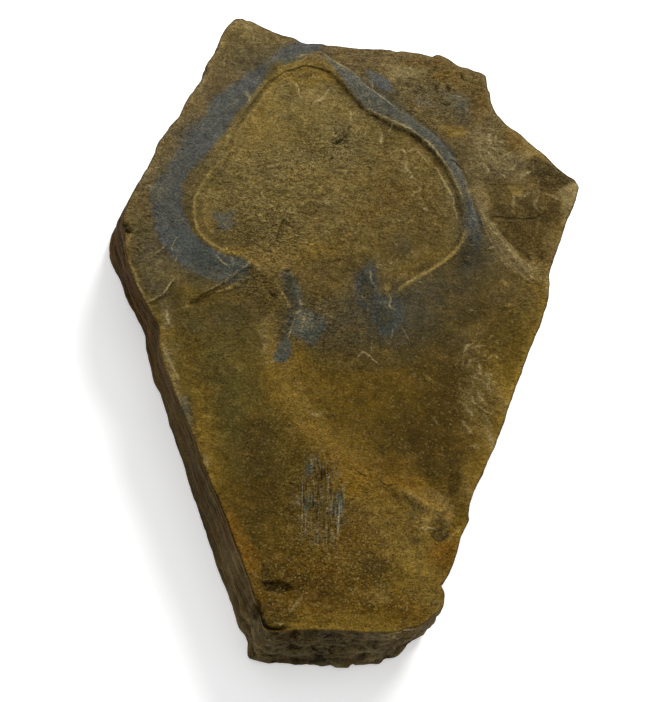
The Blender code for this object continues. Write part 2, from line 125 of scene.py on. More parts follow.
THECA = [
    (-28.6, 42.8, 0.42), (-26.0, 47.7, 0.40), (-22.5, 53.4, 0.40),
    (-20.4, 56.3, 0.42), (-15.9, 59.6, 0.50),
    (-10.1, 61.4, 0.60), (-6.1, 60.8, 0.72), (-2.6, 57.4, 0.82),
    (0.1, 54.1, 0.86), (3.4, 51.1, 0.88), (7.8, 48.8, 0.88),
    (13.0, 46.7, 0.88), (16.2, 44.4, 0.88), (19.4, 41.0, 0.86),
    (21.6, 37.5, 0.82), (23.9, 32.4, 0.74), (24.9, 26.6, 0.62),
    (25.3, 21.6, 0.50), (23.1, 17.9, 0.40), (18.8, 14.0, 0.32),
    (13.4, 9.9, 0.28), (9.1, 6.4, 0.20),
    (4.0, 3.0, 0.05), (-3.0, 1.0, 0.00), (-9.5, 0.2, 0.05),
    (-14.7, 1.5, 0.15),
    (-16.4, 4.5, 0.25), (-18.9, 7.9, 0.30), (-22.1, 10.4, 0.32),
    (-26.1, 12.9, 0.35), (-29.9, 14.1, 0.38), (-33.7, 16.2, 0.40),
    (-35.5, 19.9, 0.42), (-35.7, 25.3, 0.45), (-33.7, 30.1, 0.48),
    (-30.4, 35.0, 0.50),
]
CORD = [
    (-12.0, 63.0, 0.8), (-8.0, 63.4, 1.2), (-4.5, 61.6, 1.6),
    (-1.2, 58.6, 1.8), (2.6, 55.2, 2.1), (7.2, 52.2, 2.1), (12.0, 49.6, 1.8),
    (16.6, 46.6, 1.5), (20.0, 43.0, 1.4), (22.9, 38.8, 1.3),
    (25.2, 33.4, 1.3), (26.6, 27.0, 1.4), (28.2, 20.0, 1.5),
]
TAIL = [
    (-14.0, 0.0, 3.4, 0.15), (-16.0, -7.0, 3.6, 0.25),
    (-15.5, -14.0, 4.2, 0.40), (-12.8, -21.5, 4.9, 0.60),
    (-7.5, -28.5, 5.4, 0.75), (-0.8, -34.5, 5.6, 0.85),
    (6.9, -39.6, 5.4, 1.00), (14.0, -43.6, 4.6, 1.00),
    (20.2, -48.0, 3.6, 0.70),
]
STEPS = [
    ([(-22.4, 11.4), (-24.6, 9.6), (-26.9, 7.9), (-28.8, 6.3), (-31.1, 4.4),
      (-33.4, 3.1), (-35.2, 1.5), (-37.6, -0.6)][::-1], 0.70, 6.0, 0.34),
    ([(-46.6, 0.0), (-43.7, 0.7), (-42.0, 2.4), (-40.8, 4.2), (-39.3, 6.6)],
     0.55, 6.0, 0.34),
    ([(-50.4, 8.6), (-47.0, 9.9), (-44.4, 11.3), (-42.1, 13.1),
      (-39.8, 14.9)], 0.35, 5.0, 0.34),
    ([(45.5, 10.6), (40.4, 15.2), (37.0, 17.9), (34.0, 21.1), (32.2, 23.5),
      (30.3, 26.1), (27.7, 31.3), (26.2, 36.0), (24.4, 40.5)][::-1],
     0.45, 9.0, 2.6),
    ([(4.6, -38.6), (6.9, -38.7), (9.6, -39.0), (12.1, -40.2), (14.3, -41.8),
      (16.0, -43.3), (17.8, -44.6), (20.6, -47.0)], 0.70, 3.6, 2.2),
]
LUMPS = [
    (21.0, -24.0, 14.0, 12.0, -0.75),
    (-16.9, -60.6, 3.4, 1.2, -0.55),
    (17.8, -48.0, 2.6, 1.6, -0.8),
    (-30.0, -34.0, 9.0, 20.0, -0.45),
    (42.0, 33.0, 10.0, 12.0, 0.35),
    (-36.0, 40.0, 8.0, 16.0, 0.25),
    (-4.0, 26.0, 22.0, 17.0, 0.35),
    (2.0, -56.0, 18.0, 12.0, 0.25),
]
BACK_SCARS = [
    (33.0, 44.0, 26.0, 20.0, 2.4),
    (-41.0, 4.0, 15.0, 22.0, 1.8),
    (24.0, -38.0, 14.0, 22.0, 1.6),
    (-22.0, 66.0, 17.0, 11.0, 1.5),
    (-8.0, -68.0, 14.0, 8.0, 1.2),
]

# ===================================================================  tools
def smooth(lo, hi, v):
    t = np.clip((v - lo) / (hi - lo), 0, 1)
    return t * t * (3 - 2 * t)


def noise(x, y, z, size, seed):
    """Gradient noise, about -1 to 1, with features SIZE across."""
    px, py, pz = (np.asarray(v, float) / size + 7.3 * seed for v in np.broadcast_arrays(x, y, z))
    ix, iy, iz = (np.floor(v).astype(np.int64) for v in (px, py, pz))
    fx, fy, fz = px - ix, py - iy, pz - iz
    wx, wy, wz = (f * f * f * (f * (f * 6 - 15) + 10) for f in (fx, fy, fz))
    total = np.zeros(fx.shape)
    for corner in range(8):
        cx, cy, cz = corner & 1, corner >> 1 & 1, corner >> 2 & 1
        h = ((ix + cx) * 73856093 ^ (iy + cy) * 19349663 ^ (iz + cz) * 83492791
             ^ (seed + 1) * 97531) & 0xFFFFFFFF
        h = ((h ^ h >> 15) * 2246822519) & 0xFFFFFFFF
        h = ((h ^ h >> 13) * 3266489917) & 0xFFFFFFFF
        h ^= h >> 16
        turn = (h & 0xFFFF) / 65536.0 * 2 * math.pi
        rise = (h >> 16 & 0xFFFF) / 32768.0 - 1.0
        flat = np.sqrt(1 - np.clip(rise * rise, 0, 1))
        dot = (fx - cx) * flat * np.cos(turn) + (fy - cy) * flat * np.sin(turn) + (fz - cz) * rise
        total += (wx if cx else 1 - wx) * (wy if cy else 1 - wy) * (wz if cz else 1 - wz) * dot
    return total * 1.6


def resample(points, spacing, closed):
    pts = np.array(points, float)
    n = len(pts)
    dense = []
    for i in range(n if closed else n - 1):
        if closed:
            a, b, c, d = (pts[(i + k) % n] for k in (-1, 0, 1, 2))
        else:
            a, b, c, d = (pts[min(max(i + k, 0), n - 1)] for k in (-1, 0, 1, 2))
        for t in np.linspace(0, 1, 12, endpoint=False):
            dense.append(0.5 * (2 * b + (c - a) * t + (2 * a - 5 * b + 4 * c - d) * t ** 2
                                + (3 * b - a - 3 * c + d) * t ** 3))
    dense.append(pts[0] if closed else pts[-1])
    dense = np.array(dense)
    run = np.r_[0, np.cumsum(np.hypot(*np.diff(dense[:, :2], axis=0).T))]
    count = max(3, round(run[-1] / spacing))
    where = np.linspace(0, run[-1], count + 1)
    out = np.array([np.interp(where, run, col) for col in dense.T]).T
    return out[:-1] if closed else out


def nearest(x, y, curve, reach=None):
    """Distance to CURVE, side (+1 left of it), the curve's own columns at the
    nearest place and last the run along it. Past REACH it isn't worked out."""
    a, b = curve[:-1], curve[1:]
    run = np.r_[0, np.cumsum(np.hypot(*(b - a)[:, :2].T))]
    extra = curve.shape[1] - 2
    best_all = np.full(x.shape, 99.0)
    side_all = np.ones(x.shape)
    cols_all = np.zeros(x.shape + (extra + 1,))
    if reach is None:
        pick = slice(None)
        xs, ys = x, y
    else:
        lo, hi = curve[:, :2].min(0) - reach, curve[:, :2].max(0) + reach
        pick = np.nonzero((x > lo[0]) & (x < hi[0]) & (y > lo[1]) & (y < hi[1]))[0]
        xs, ys = x[pick], y[pick]
    best = np.full(xs.shape, 1e9)
    side = np.ones_like(xs)
    seg = np.zeros(xs.shape, np.int64)
    frac = np.zeros_like(xs)
    for k in range(len(a)):
        dx, dy = b[k, 0] - a[k, 0], b[k, 1] - a[k, 1]
        ll = dx * dx + dy * dy
        if ll < 1e-12:
            continue
        qx, qy = xs - a[k, 0], ys - a[k, 1]
        t = np.clip((qx * dx + qy * dy) / ll, 0, 1)
        ex, ey = qx - t * dx, qy - t * dy
        dist = ex * ex + ey * ey
        hit = dist < best
        best = np.where(hit, dist, best)
        side = np.where(hit, np.where(dx * ey - dy * ex >= 0, 1.0, -1.0), side)
        seg = np.where(hit, k, seg)
        frac = np.where(hit, t, frac)
    cols = np.zeros(xs.shape + (extra + 1,))
    for c in range(extra):
        cols[..., c] = a[seg, c + 2] + frac * (b[seg, c + 2] - a[seg, c + 2])
    cols[..., -1] = run[seg] + frac * (run[seg + 1] - run[seg])
    best_all[pick], side_all[pick], cols_all[pick] = np.sqrt(best), side, cols
    return best_all, side_all, cols_all


def inside(x, y, loop):
    odd = np.zeros(x.shape, bool)
    for (x0, y0), (x1, y1) in zip(loop[:, :2], np.roll(loop[:, :2], -1, axis=0)):
        if y0 == y1:
            continue
        cross = (y0 > y) != (y1 > y)
        odd ^= cross & (x < x0 + (y - y0) * (x1 - x0) / (y1 - y0))
    return odd


def ends(run, length, fade):
    return smooth(0, fade, run) * smooth(0, fade, length - run)


def length_of(curve):
    return float(np.hypot(*np.diff(curve[:, :2], axis=0).T).sum())


def hex_grid(lo, hi, spacing):
    rows = np.arange(lo[1], hi[1], spacing * math.sqrt(3) / 2)
    cols = np.arange(lo[0], hi[0], spacing)
    x, y = np.meshgrid(cols, rows)
    x = x + np.where(np.arange(len(rows)) % 2, spacing / 2, 0)[:, None]
    return x.ravel(), y.ravel()


def fill(rim, spacing, clear):
    """A closed RIM filled with triangles about SPACING across. Returns points and triangles."""
    gx, gy = hex_grid(rim.min(0), rim.max(0), spacing)
    keep = inside(gx, gy, rim)
    gx, gy = gx[keep], gy[keep]
    ring = np.vstack([rim, rim[:1]])
    # only points near the rim need the distance: find them through a coarse grid
    cell = 2.0
    cells = {(int(math.floor(p[0] / cell)) + i, int(math.floor(p[1] / cell)) + j)
             for p in rim for i in (-1, 0, 1) for j in (-1, 0, 1)}
    near = np.array([(int(a), int(b)) in cells
                     for a, b in zip(np.floor(gx / cell), np.floor(gy / cell))])
    d = np.full(gx.shape, 99.0)
    d[near], _, _ = nearest(gx[near], gy[near], ring)
    pts = np.vstack([rim, np.c_[gx, gy][d > clear]])
    verts, _, faces, origin, _, _ = delaunay_2d_cdt(
        [Vector(p) for p in pts], [], [list(range(len(rim)))], 1, 1e-6)
    assert len(verts) == len(pts)
    where = np.array([o[0] for o in origin])
    tris = where[np.array(faces)]
    return pts, tris


# ============================================================  fields on the face
theca = resample(THECA, 1.0, True)
cord = resample(CORD, 1.0, False)
tail = resample(TAIL, 1.2, False)
steps = [(resample(line, 0.8, False), drop, reach, width) for line, drop, reach, width in STEPS]

# fine lines seen on the face: half width in mm, then (x, y, strength) by pixel
PALE = [
    # painted highlights along the crest inside the cord, and along its outer edge
    (.20, (368, 109.5, .5), (372, 111.5, .7), (376, 113.5, .8), (382, 116, .9), (387, 118.5, .9),
     (392, 121, .9), (397, 123, .9), (402, 125.5, .9), (408, 128.5, 1), (413, 131.5, 1), (418, 135, 1),
     (423, 139, 1), (428, 143, 1), (433, 148, 1), (437, 153, 1), (441, 158, 1), (445, 163.5, 1),
     (449, 169, .9), (453, 176, .6), (456, 182, .5), (459, 188, .5), (462, 195, .4)),
    (.16, (312, 55, .5), (316, 53.5, .7), (319, 51.5, .9), (322, 53, .9), (327, 57, .8), (333, 62, .7),
     (338, 65, .8), (343, 66.5, 1), (348, 69, .9), (353, 73, .8), (357, 77, .8), (359.5, 80, .6)),
    (.15, (361, 84, .9), (366, 87, 1), (370, 89.5, .9), (373, 91.5, .9), (376, 93.5, .8), (380, 97, .9),
     (385, 100.5, .9), (390, 104.5, .8), (394, 107.5, .7), (398, 110.5, .7), (401, 113, .4)),
    (.14, (372, 83.5, .8), (372.3, 86, 1), (372.6, 88.5, .9)),
    (.14, (296, 57.5, .4), (302, 55.5, .7), (308, 54.5, .8), (313, 54.3, .6)),
    (.20, (304.5, 59, .9), (308, 57, 1), (312, 57.2, .6)),
    # squiggles under the apex and across the right of the theca
    (.15, (278, 88, .4), (283, 85, .8), (288, 83, .9), (293, 81.5, .8), (297, 84, .7), (299, 88, .9),
     (299, 93, .9), (301.5, 97, .7)),
    (.24, (328.5, 90, .8), (325, 95.5, .9), (321, 99, .9), (316, 101, .9), (313.5, 104, .7)),
    (.15, (330, 84, .3), (332, 88, .6), (337, 92, .8)),
    (.35, (351, 112, .7), (350.5, 116, .9), (351, 120, .6)),
    (.18, (365, 138, .8), (365, 133.5, .9), (367.5, 131, .6), (373, 130.8, .5), (377, 131.5, .4)),
    (.40, (382, 134.5, .8), (382, 138, .9), (381.5, 141.5, .8)),
    (.14, (392, 124, .8), (391, 128.5, .9), (388, 131.5, .6)),
    (.20, (396, 149.5, .5), (399, 148, .7), (403, 148.5, .8), (406, 151.5, .8), (405.3, 156, .7)),
    (.20, (410, 149.5, .6), (415, 147.5, .9), (418, 150, .8), (421, 153, .7), (424, 156.5, .7), (428, 160.5, .5)),
    (.30, (407, 162.5, .6), (406, 166.5, .8), (409, 170, .9), (411, 173.5, 1), (413.5, 177, .9)),
    (.20, (419.5, 187, .8), (420.2, 190, .8), (416.5, 191.3, .8), (413.5, 193, .5)),
    (.22, (419.5, 194, .7), (421.5, 198, .5)),
    (.30, (424.5, 207.5, 1), (427, 208.5, .9)),
    (.22, (438, 168, .6), (441, 173, .9), (444, 179, 1), (446.5, 184, 1), (450, 188.5, .9), (453, 194, .9),
     (455.3, 199, .8), (454.8, 203, .6), (456.3, 209, .8), (458, 215, .8)),
    (.15, (440, 188, .4), (443, 186.5, .6), (445.5, 185, .5)),
    # ridge down to the right, with finer striae beside it
    (.18, (478, 203, .2), (483.5, 213, .3), (488, 219.5, .5), (491, 223.5, .7), (494, 229, .7),
     (497, 233.5, .6), (500, 238, .5), (503, 242.5, .3)),
    (.14, (481, 218, .4), (485, 227, .5), (490, 238, .4), (496, 250, .3)),
    (.13, (486, 222, .3), (491, 232, .5), (497, 243, .5), (504, 254, .4), (511, 263, .3)),
    (.13, (504, 246, .3), (511, 254, .5), (519, 262, .5), (528, 271, .4)),
    (.13, (509, 249, .3), (518, 257, .5), (527, 264, .5), (537, 274, .4)),
    (.12, (476, 196, .3), (479, 206, .4), (483, 221, .4)),
    (.18, (513, 251, .3), (516, 255, .5), (520, 259.5, .5), (526, 264.5, .3)),
    (.16, (520, 265, .3), (525, 270, .7), (529, 274, .8), (533, 278, .7), (537, 281, .4)),
    (.20, (490, 248, .8), (492, 246.8, .9), (495, 247, .6)),
    (.14, (470, 215, .4), (473, 219, .5), (476, 221, .5)),
    (.16, (473, 198, .4), (478, 206, .6), (483, 214, .7), (490, 228, .7), (500, 238, .6), (508, 248, .6),
     (518, 260, .6), (528, 270, .5), (536, 280, .4)),
    (.13, (492, 222, .4), (500, 234, .6), (509, 244, .5), (516, 252, .3)),
    (.13, (514, 266, .4), (524, 276, .6), (532, 282, .5)),
    # network on the upper right
    (.20, (487, 136, .7), (485.6, 142, .9), (488, 148, .7)), (.16, (476, 144, .6), (480, 142.4, .8), (483, 144, .5)),
    (.16, (493, 146, .6), (496, 150, .8), (500, 148, .5)), (.16, (488, 152, .6), (492.4, 156, .8), (497, 157, .6)),
    (.16, (497, 141, .6), (501, 142.4, .7), (504, 144, .4)), (.18, (481, 164, .6), (485, 166, .9), (488, 170, .9), (487, 176, .6)),
    (.16, (490, 162, .6), (492.4, 166, .6)), (.16, (502, 160, .6), (506, 158, .8), (510, 156, .5)),
    (.18, (504, 168, .6), (509, 170, .9), (514, 169, .8), (516, 164, .6)), (.20, (519, 174, .6), (521, 178, .8), (524, 176, .8)),
    (.22, (534, 193, .3), (538, 191, .4), (537.6, 198, .5), (535, 206, .4), (538, 210, .3)),
    (.13, (549, 195, .4), (554, 196, .7), (560, 200, .7)), (.14, (478, 152, .5), (481, 156, .6), (480, 160, .4)),
    (.16, (487, 148, .8), (492, 148.3, .9), (497, 149, .6)),
    (.18, (484, 152, .7), (490, 156, .9), (494, 159, .7), (497, 161, .4)),
    (.20, (497, 133, .4), (495.5, 139, .6), (497.5, 145, .5)),
    (.50, (489.5, 134, .7), (489, 140, .9), (490, 146, .8)),
    (.16, (500, 142, .4), (504, 141.2, .5), (508, 142, .4)),
    (.18, (500, 158.3, .5), (505, 155.5, .8), (510, 152.5, .7), (513.5, 150.5, .4)),
    (.22, (482, 163, .6), (486, 165, .9), (488.3, 169, .8), (489.2, 174, .6)),
    (.20, (503, 168.5, .7), (508, 170, .8), (513, 168, .9), (515.8, 163.5, .7)),
    (.22, (502.5, 175, .7), (505.5, 178, .7)),
    (.35, (520.5, 175.5, .8), (524, 174.5, 1), (528, 172.5, .8)),
    (.12, (520, 179, .5), (520.5, 183, .3)),
    (.20, (489.5, 128, .5), (493, 130, .6)),
    (.16, (477, 162, .4), (480, 168, .5)),
    (.14, (518, 156.3, .5), (526, 155.6, .7), (534, 154.3, .7), (541, 153.5, .6), (548, 158, .4)),
    (.12, (533, 158, .3), (533, 165, .5), (533, 173, .3)),
    (.38, (533.8, 194, .4), (534.8, 199, .5), (534.2, 205, .5), (537, 210, .4)),
    (.35, (538, 222, .3), (537, 229, .3)),
    (.30, (513.5, 197, .5), (514, 201, .6), (513.5, 206, .3)),
    (.13, (545, 194.3, .3), (550, 196, .5), (556, 199.2, .7), (560, 201.3, .5)),
    (.30, (525.5, 195, .6), (528.5, 193.5, .7)),
    # ledges on the left
    (.16, (144.5, 301.5, .5), (148, 301.3, .6), (152, 299.5, .8), (157, 297, .9), (162, 294, 1), (166, 290, 1),
     (169, 285, .9), (172, 281, .7), (175, 278.5, .5)),
    (.18, (164, 247, .9), (160, 250, .7), (155, 254.2, .7), (150, 257, .7), (144, 259, .6), (138, 261, .4)),
    (.25, (128.5, 262, .5), (131, 265, .5), (134, 271, .4), (137, 279, .5), (140, 289, .6), (143, 296, .5)),
    (.14, (173, 245, .5), (174.5, 241, .7), (177, 238.5, .4)),
    (.14, (171.5, 248, .6), (172.2, 251, .5)),
    (.13, (177, 257, .6), (175.5, 261, .5), (173.5, 264, .4)),
    (.15, (217, 256, .6), (220.5, 260, .7), (224, 263.3, .8), (228, 266.5, .6)),
    (.16, (249, 264, .4), (243, 268, .5), (238, 271, .6), (234, 274.5, .7), (230, 277.5, .8), (226, 280, .9),
     (220, 283.3, .7), (214, 287, .6), (208, 290, .5), (203, 291.5, .3)),
    (.12, (241, 278, .5), (246, 277, .6), (251, 276.5, .5)),
    (.40, (166.5, 313, .8), (167, 318, 1), (168, 321, .8)),
    (.30, (160.5, 327, .6), (163, 328, .6)),
    (.35, (163, 346, .5), (166, 352, .7), (168, 357, .6), (171, 363, .5), (174, 369, .6), (176.5, 374, .9),
     (177.5, 377, .8)),
    # below the theca
    (.12, (371, 343, .3), (371.3, 348, .4), (371, 352, .4)),
    (.18, (359, 355.5, .6), (361.5, 353, .8), (365, 353, .9), (368, 355.5, 1), (371, 357.5, .9), (373, 360, .8),
     (376, 362.5, .7)),
    (.16, (392.5, 330, .6), (391.5, 336, .6)),
    (.16, (400, 325, .25), (405, 333, .35), (410, 342, .3)),
    (.18, (390, 297, .5), (391, 301, .6), (389, 304.5, .8), (391, 307.5, .6)),
    (.20, (298, 297, .5), (299.5, 300, .7), (302, 305, .4)),
    (.25, (295.5, 313, .9), (300, 312, .9)),
    (.16, (294.5, 316, .6), (293.5, 322, .6), (291.5, 328, .7), (290, 332, .7), (288.5, 336, 1)),
    (.20, (304, 314, .5), (303.5, 320, .4), (302, 327, .5)),
    (.25, (370.5, 272, .6), (371, 276, 1), (371.5, 280, .8)),
    (.20, (373.5, 283, .6), (375, 286, .5)),
    (.20, (331, 317, 1), (332.5, 317.5, .8)), (.15, (405.7, 274, .9), (407, 274.5, .7)),
    (.18, (471, 310, .9), (472, 310, .7)), (.16, (512, 321.5, .6), (512, 323, .6)),
    (.20, (262, 364, .5), (268, 363, .6), (273, 362, .6)),
    # flecks along the right side
    (.28, (465, 350, .6), (466.5, 346.5, .8), (469, 345, .7)), (.20, (473, 348, .5), (479, 346, .5), (485, 345, .4)),
    (.25, (490.5, 338, .6), (492, 336, .9)), (.20, (496, 342, .6), (497, 342.5, .5)),
    (.25, (489, 358, .6), (491, 356.5, .8)), (.20, (496, 355.5, .7), (497.5, 357, .5)),
    (.20, (468.5, 363, .4), (471, 359.5, .6), (475, 358.5, .5)),
    (.28, (479.5, 365.5, .7), (480.5, 369, .8), (482, 373.5, .7)), (.28, (474, 376.5, .8), (478.5, 378, .6)),
    (.40, (487, 373, .5), (489.5, 380, .6), (488, 386, .6), (491, 390, .4)),
    (.28, (479, 393, .8), (480.5, 397, .7), (483, 400, .5)), (.20, (461, 401.5, .7), (464, 403, .6)),
    (.28, (467.5, 402, .6), (467, 406, .9), (468, 410, .6)), (.28, (470.5, 411, .9), (472.5, 414, .8)),
    (.25, (479.5, 405.5, .6), (483, 408.5, .7), (488, 411.5, .6)), (.28, (473, 397, .5), (474, 401, .5)),
    (.28, (485, 415, .4), (488, 420, .7), (491, 422.5, .4)), (.28, (464, 422, .5), (467, 426, .6), (471, 431, .5)),
    (.35, (473.5, 445.5, .5), (477.5, 447, .5)), (.35, (434, 418, .4), (436.5, 421, .5)),
    # scratches
    (.14, (310, 456, .7), (310.6, 461, .8), (311, 465, .6)), (.15, (328.2, 477, .8), (328, 483, 1), (328.3, 488, .6)),
    (.14, (302, 487, .5), (301.8, 493, .8), (302, 500, .6)),
    (.16, (303.3, 503, .8), (302.8, 512, 1), (302.2, 520, .9), (301.5, 528, .5)),
    (.18, (339, 505, .6), (338.3, 512, 1), (338.5, 520, .9), (337.8, 529, .9), (337, 538, .6)),
    (.14, (326.5, 525, .5), (327, 532, .7), (326.5, 541, .5)), (.14, (309, 485, .4), (309.5, 493, .5)),
    (.14, (313, 480, .5), (313.5, 487, .5)), (.14, (332, 497, .5), (331.5, 505, .6)),
    (.12, (317, 526, .4), (317, 534, .4)), (.12, (322.5, 500, .5), (323, 508, .4)),
    (.35, (297.5, 498, .7), (299, 504, .6)),
    # painted highlight along the crest of the tail, and specks at its end
    (.16, (398, 491, .15), (405, 493, .3), (412, 496.5, .25), (419, 500, .15), (427, 506, .15),
     (435, 512.5, .12), (442, 518.5, .15), (448, 524.5, .2), (452, 529, .15)),
    (.16, (421, 528, .7), (424.5, 531, .7), (427, 528.5, .8), (431, 528.8, .9), (435, 529.8, .6)),
    (.25, (279, 624, .9), (281, 624, .9)),
    (.35, (290.5, 611, .5), (295, 605, .6), (300, 598.5, .4)),
    # upper left
    (.50, (203, 81, .5), (201, 87, .6), (199, 92, .5)), (.45, (247.5, 94, .6), (249, 97.5, .7)),
    (.20, (225.5, 55, .35), (224.5, 61, .35), (224, 66, .3)), (.25, (230, 26.5, .7), (236, 25.5, .6)),
    (.35, (234, 22.5, .5), (240, 21.8, .6), (246, 22.5, .6)), (.35, (245, 25, .6), (249, 28.5, .7), (252, 31, .5)),
    (.25, (249, 41.5, .5), (256, 43.5, .7), (261, 42.5, .5)), (.16, (253.4, 36.5, .9), (253.5, 39.5, .9)),
    (.20, (149.5, 186.5, 1), (151, 187, .8)), (.14, (267.5, 141, .9), (267.5, 143, .8)),
    (.14, (237.3, 159.5, .9), (238.7, 159.5, .7)), (.14, (299, 116.5, .7), (299.5, 118, .6)),
    (.16, (155, 167.5, .7), (157, 168, .6)),
    # on the floor of the theca
    (.12, (225, 170.5, .5), (228.5, 175, .6), (231.5, 172, .5)), (.12, (232, 162, .5), (236, 163.5, .6), (240, 165.5, .5)),
    (.14, (256, 174, .6), (259, 176, .7), (262, 178, .5)), (.14, (285, 210, .6), (290, 213, .7), (294, 212, .5)),
    (.14, (197, 194.5, .4), (202.5, 193, .7), (207, 197, .5)), (.12, (213, 193.5, .4), (218, 195, .6), (221, 197, .3)),
    (.14, (220.5, 206, .4), (222, 200, .5)), (.13, (265, 240, .4), (274, 238.8, .6), (282, 240, .5), (290, 241, .4)),
    (.30, (343, 221, .4), (341.5, 228, .4)), (.18, (349.5, 223, .5), (352, 228.5, .5)),
    (.20, (358.5, 225, .5), (357, 230.5, .6), (355, 234, .5)), (.35, (320, 203, .6), (327, 202.5, .6)),
    (.16, (378, 264, .4), (382, 264.8, .6), (386, 264.5, .4)), (.20, (390, 262, .6), (392, 263.5, .6)),
    (.14, (419, 282, .7), (421, 282.3, .6)), (.16, (376, 370, .3), (378, 374, .4)),
    (.16, (396, 244, .6), (397, 245, .5)), (.16, (398, 220.3, .6), (399.5, 220.5, .5)),
    (.40, (312, 415, .5), (317, 416, .6), (320, 414, .4)), (.30, (262.5, 194, .6), (263.5, 197, .6)),
    (.14, (358, 112.3, .5), (362, 110.8, .7), (366, 109.5, .5)), (.12, (350, 104.3, .5), (357, 100, .5)),
    (.14, (394.5, 75.5, .7), (397.5, 73, .8)), (.12, (399, 76.5, .4), (401, 74, .5)),
    (.30, (391, 66, .3), (393, 70, .35)), (.30, (402, 78, .3), (406, 76, .3)),
]
YELLOW = [
    (.30, (318, 69.5, .6), (310, 70.5, .8), (303, 72.3, .8), (296, 74.3, .8), (289, 77, .8), (283, 80, .8),
     (277, 84, .9), (272, 87.3, .9), (268, 91.3, .8), (264, 96, .8), (260, 102, .8), (256, 107.5, .9),
     (251, 112.3, .7), (247, 118, .6), (243, 124, .6), (240, 127.5, .5)),
    (.22, (232, 131.3, .7), (236, 133.3, .9), (240, 134, .8)),
    (.28, (235.5, 139, .7), (235, 144.5, .8), (231, 149.5, .9), (226.5, 155.5, .9), (221.5, 161, 1),
     (216.5, 166, .9), (211.5, 171.5, .9), (206.5, 178.5, .9), (203, 184, .8), (199.5, 189.5, .8),
     (196.5, 194, .7), (195, 199.5, .7), (194.3, 205.5, .8), (194.3, 211.5, .9), (195, 217.5, .9),
     (195.5, 223, .9), (197.5, 228.5, .9), (200.5, 233.3, .9), (204.5, 238, .9), (210.5, 243, .9),
     (217, 247.3, 1), (223, 250.3, 1)),
    (.70, (221, 250, .8), (229, 251.5, 1), (236, 252.5, 1), (242, 254, 1), (247, 256.5, .9), (252, 261, .8),
     (257, 266, .6)),
    (.32, (464.5, 232, .6), (463, 238, .7), (460.5, 243.5, .8), (456, 250, .9), (449.5, 256.5, 1),
     (441.5, 263, 1), (432, 269, 1), (422, 275, .9), (412, 280.5, .8), (403, 286.5, .7), (398, 292, .4)),
    (.25, (283, 101.5, .6), (285, 106, .9), (286, 110.5, .8)),
    (.14, (258, 211.5, .8), (260.3, 214, .8), (258.5, 217, .9), (256, 215, .7), (257, 212, .6)),
    (.22, (270, 212, .5), (274, 214.5, .9), (279, 217, .9)),
    (.22, (277, 284.3, 1), (280, 288.5, 1), (283, 293.5, .9), (285, 298, .9), (287, 302.5, .9), (290, 306.5, 1)),
    # painted highlight on the lip of the lower ledge on the left
    (.30, (221, 289.3, .8), (228, 287.3, 1), (233, 284.8, .9), (238, 283, .6)),
    (.32, (186, 306, .9), (190, 305, .9), (192, 303, .5)),
    (.30, (222, 43, .9), (223.5, 47.5, 1)), (.20, (213, 56, .6), (214, 58.5, .6)),
    (.40, (443, 127, .6), (449, 128.7, .7), (456, 132.5, .8), (462, 134.5, 1), (465.5, 132, .9)),
    (.35, (127.5, 236, .7), (130.5, 236.5, .8), (128.5, 240.5, .6)),
    (.45, (435.5, 216, .6), (436, 221, .6)), (.35, (349.5, 234.5, .8), (350.5, 237.5, .6)),
    (.50, (301, 247.5, .4), (309, 249.3, .6), (317, 249, .7), (323, 251.5, .7), (326, 255.5, .6)),
    (.60, (503.5, 282, .7), (506, 284.5, .9)), (.45, (509.5, 187.3, .7), (513.5, 188, .9), (517, 189, .5)),
    (.50, (514, 193.8, .9), (519, 194.5, .9), (522, 192, .5)),
    (.22, (385.5, 285, .6), (386.3, 290, .6)), (.25, (389, 283, .7), (390, 288, .7)),
    (.28, (446.5, 542.5, .6), (451, 537, .8), (455, 532.5, .9), (460, 529, .8)),
    (.28, (424, 531.5, .5), (428, 535, .6), (433, 539.5, .5)),
    (.30, (505, 306, .6), (508.5, 305, .9)), (.60, (426, 375, .5), (430, 378, .5)),
    (.16, (185, 377.5, .5), (190, 377, .6)), (.25, (430, 159.5, .7), (433, 163, .8)),
    (.35, (290, 73.5, .3), (300, 78, .5), (310, 77, .6), (320, 79, .5)),
]
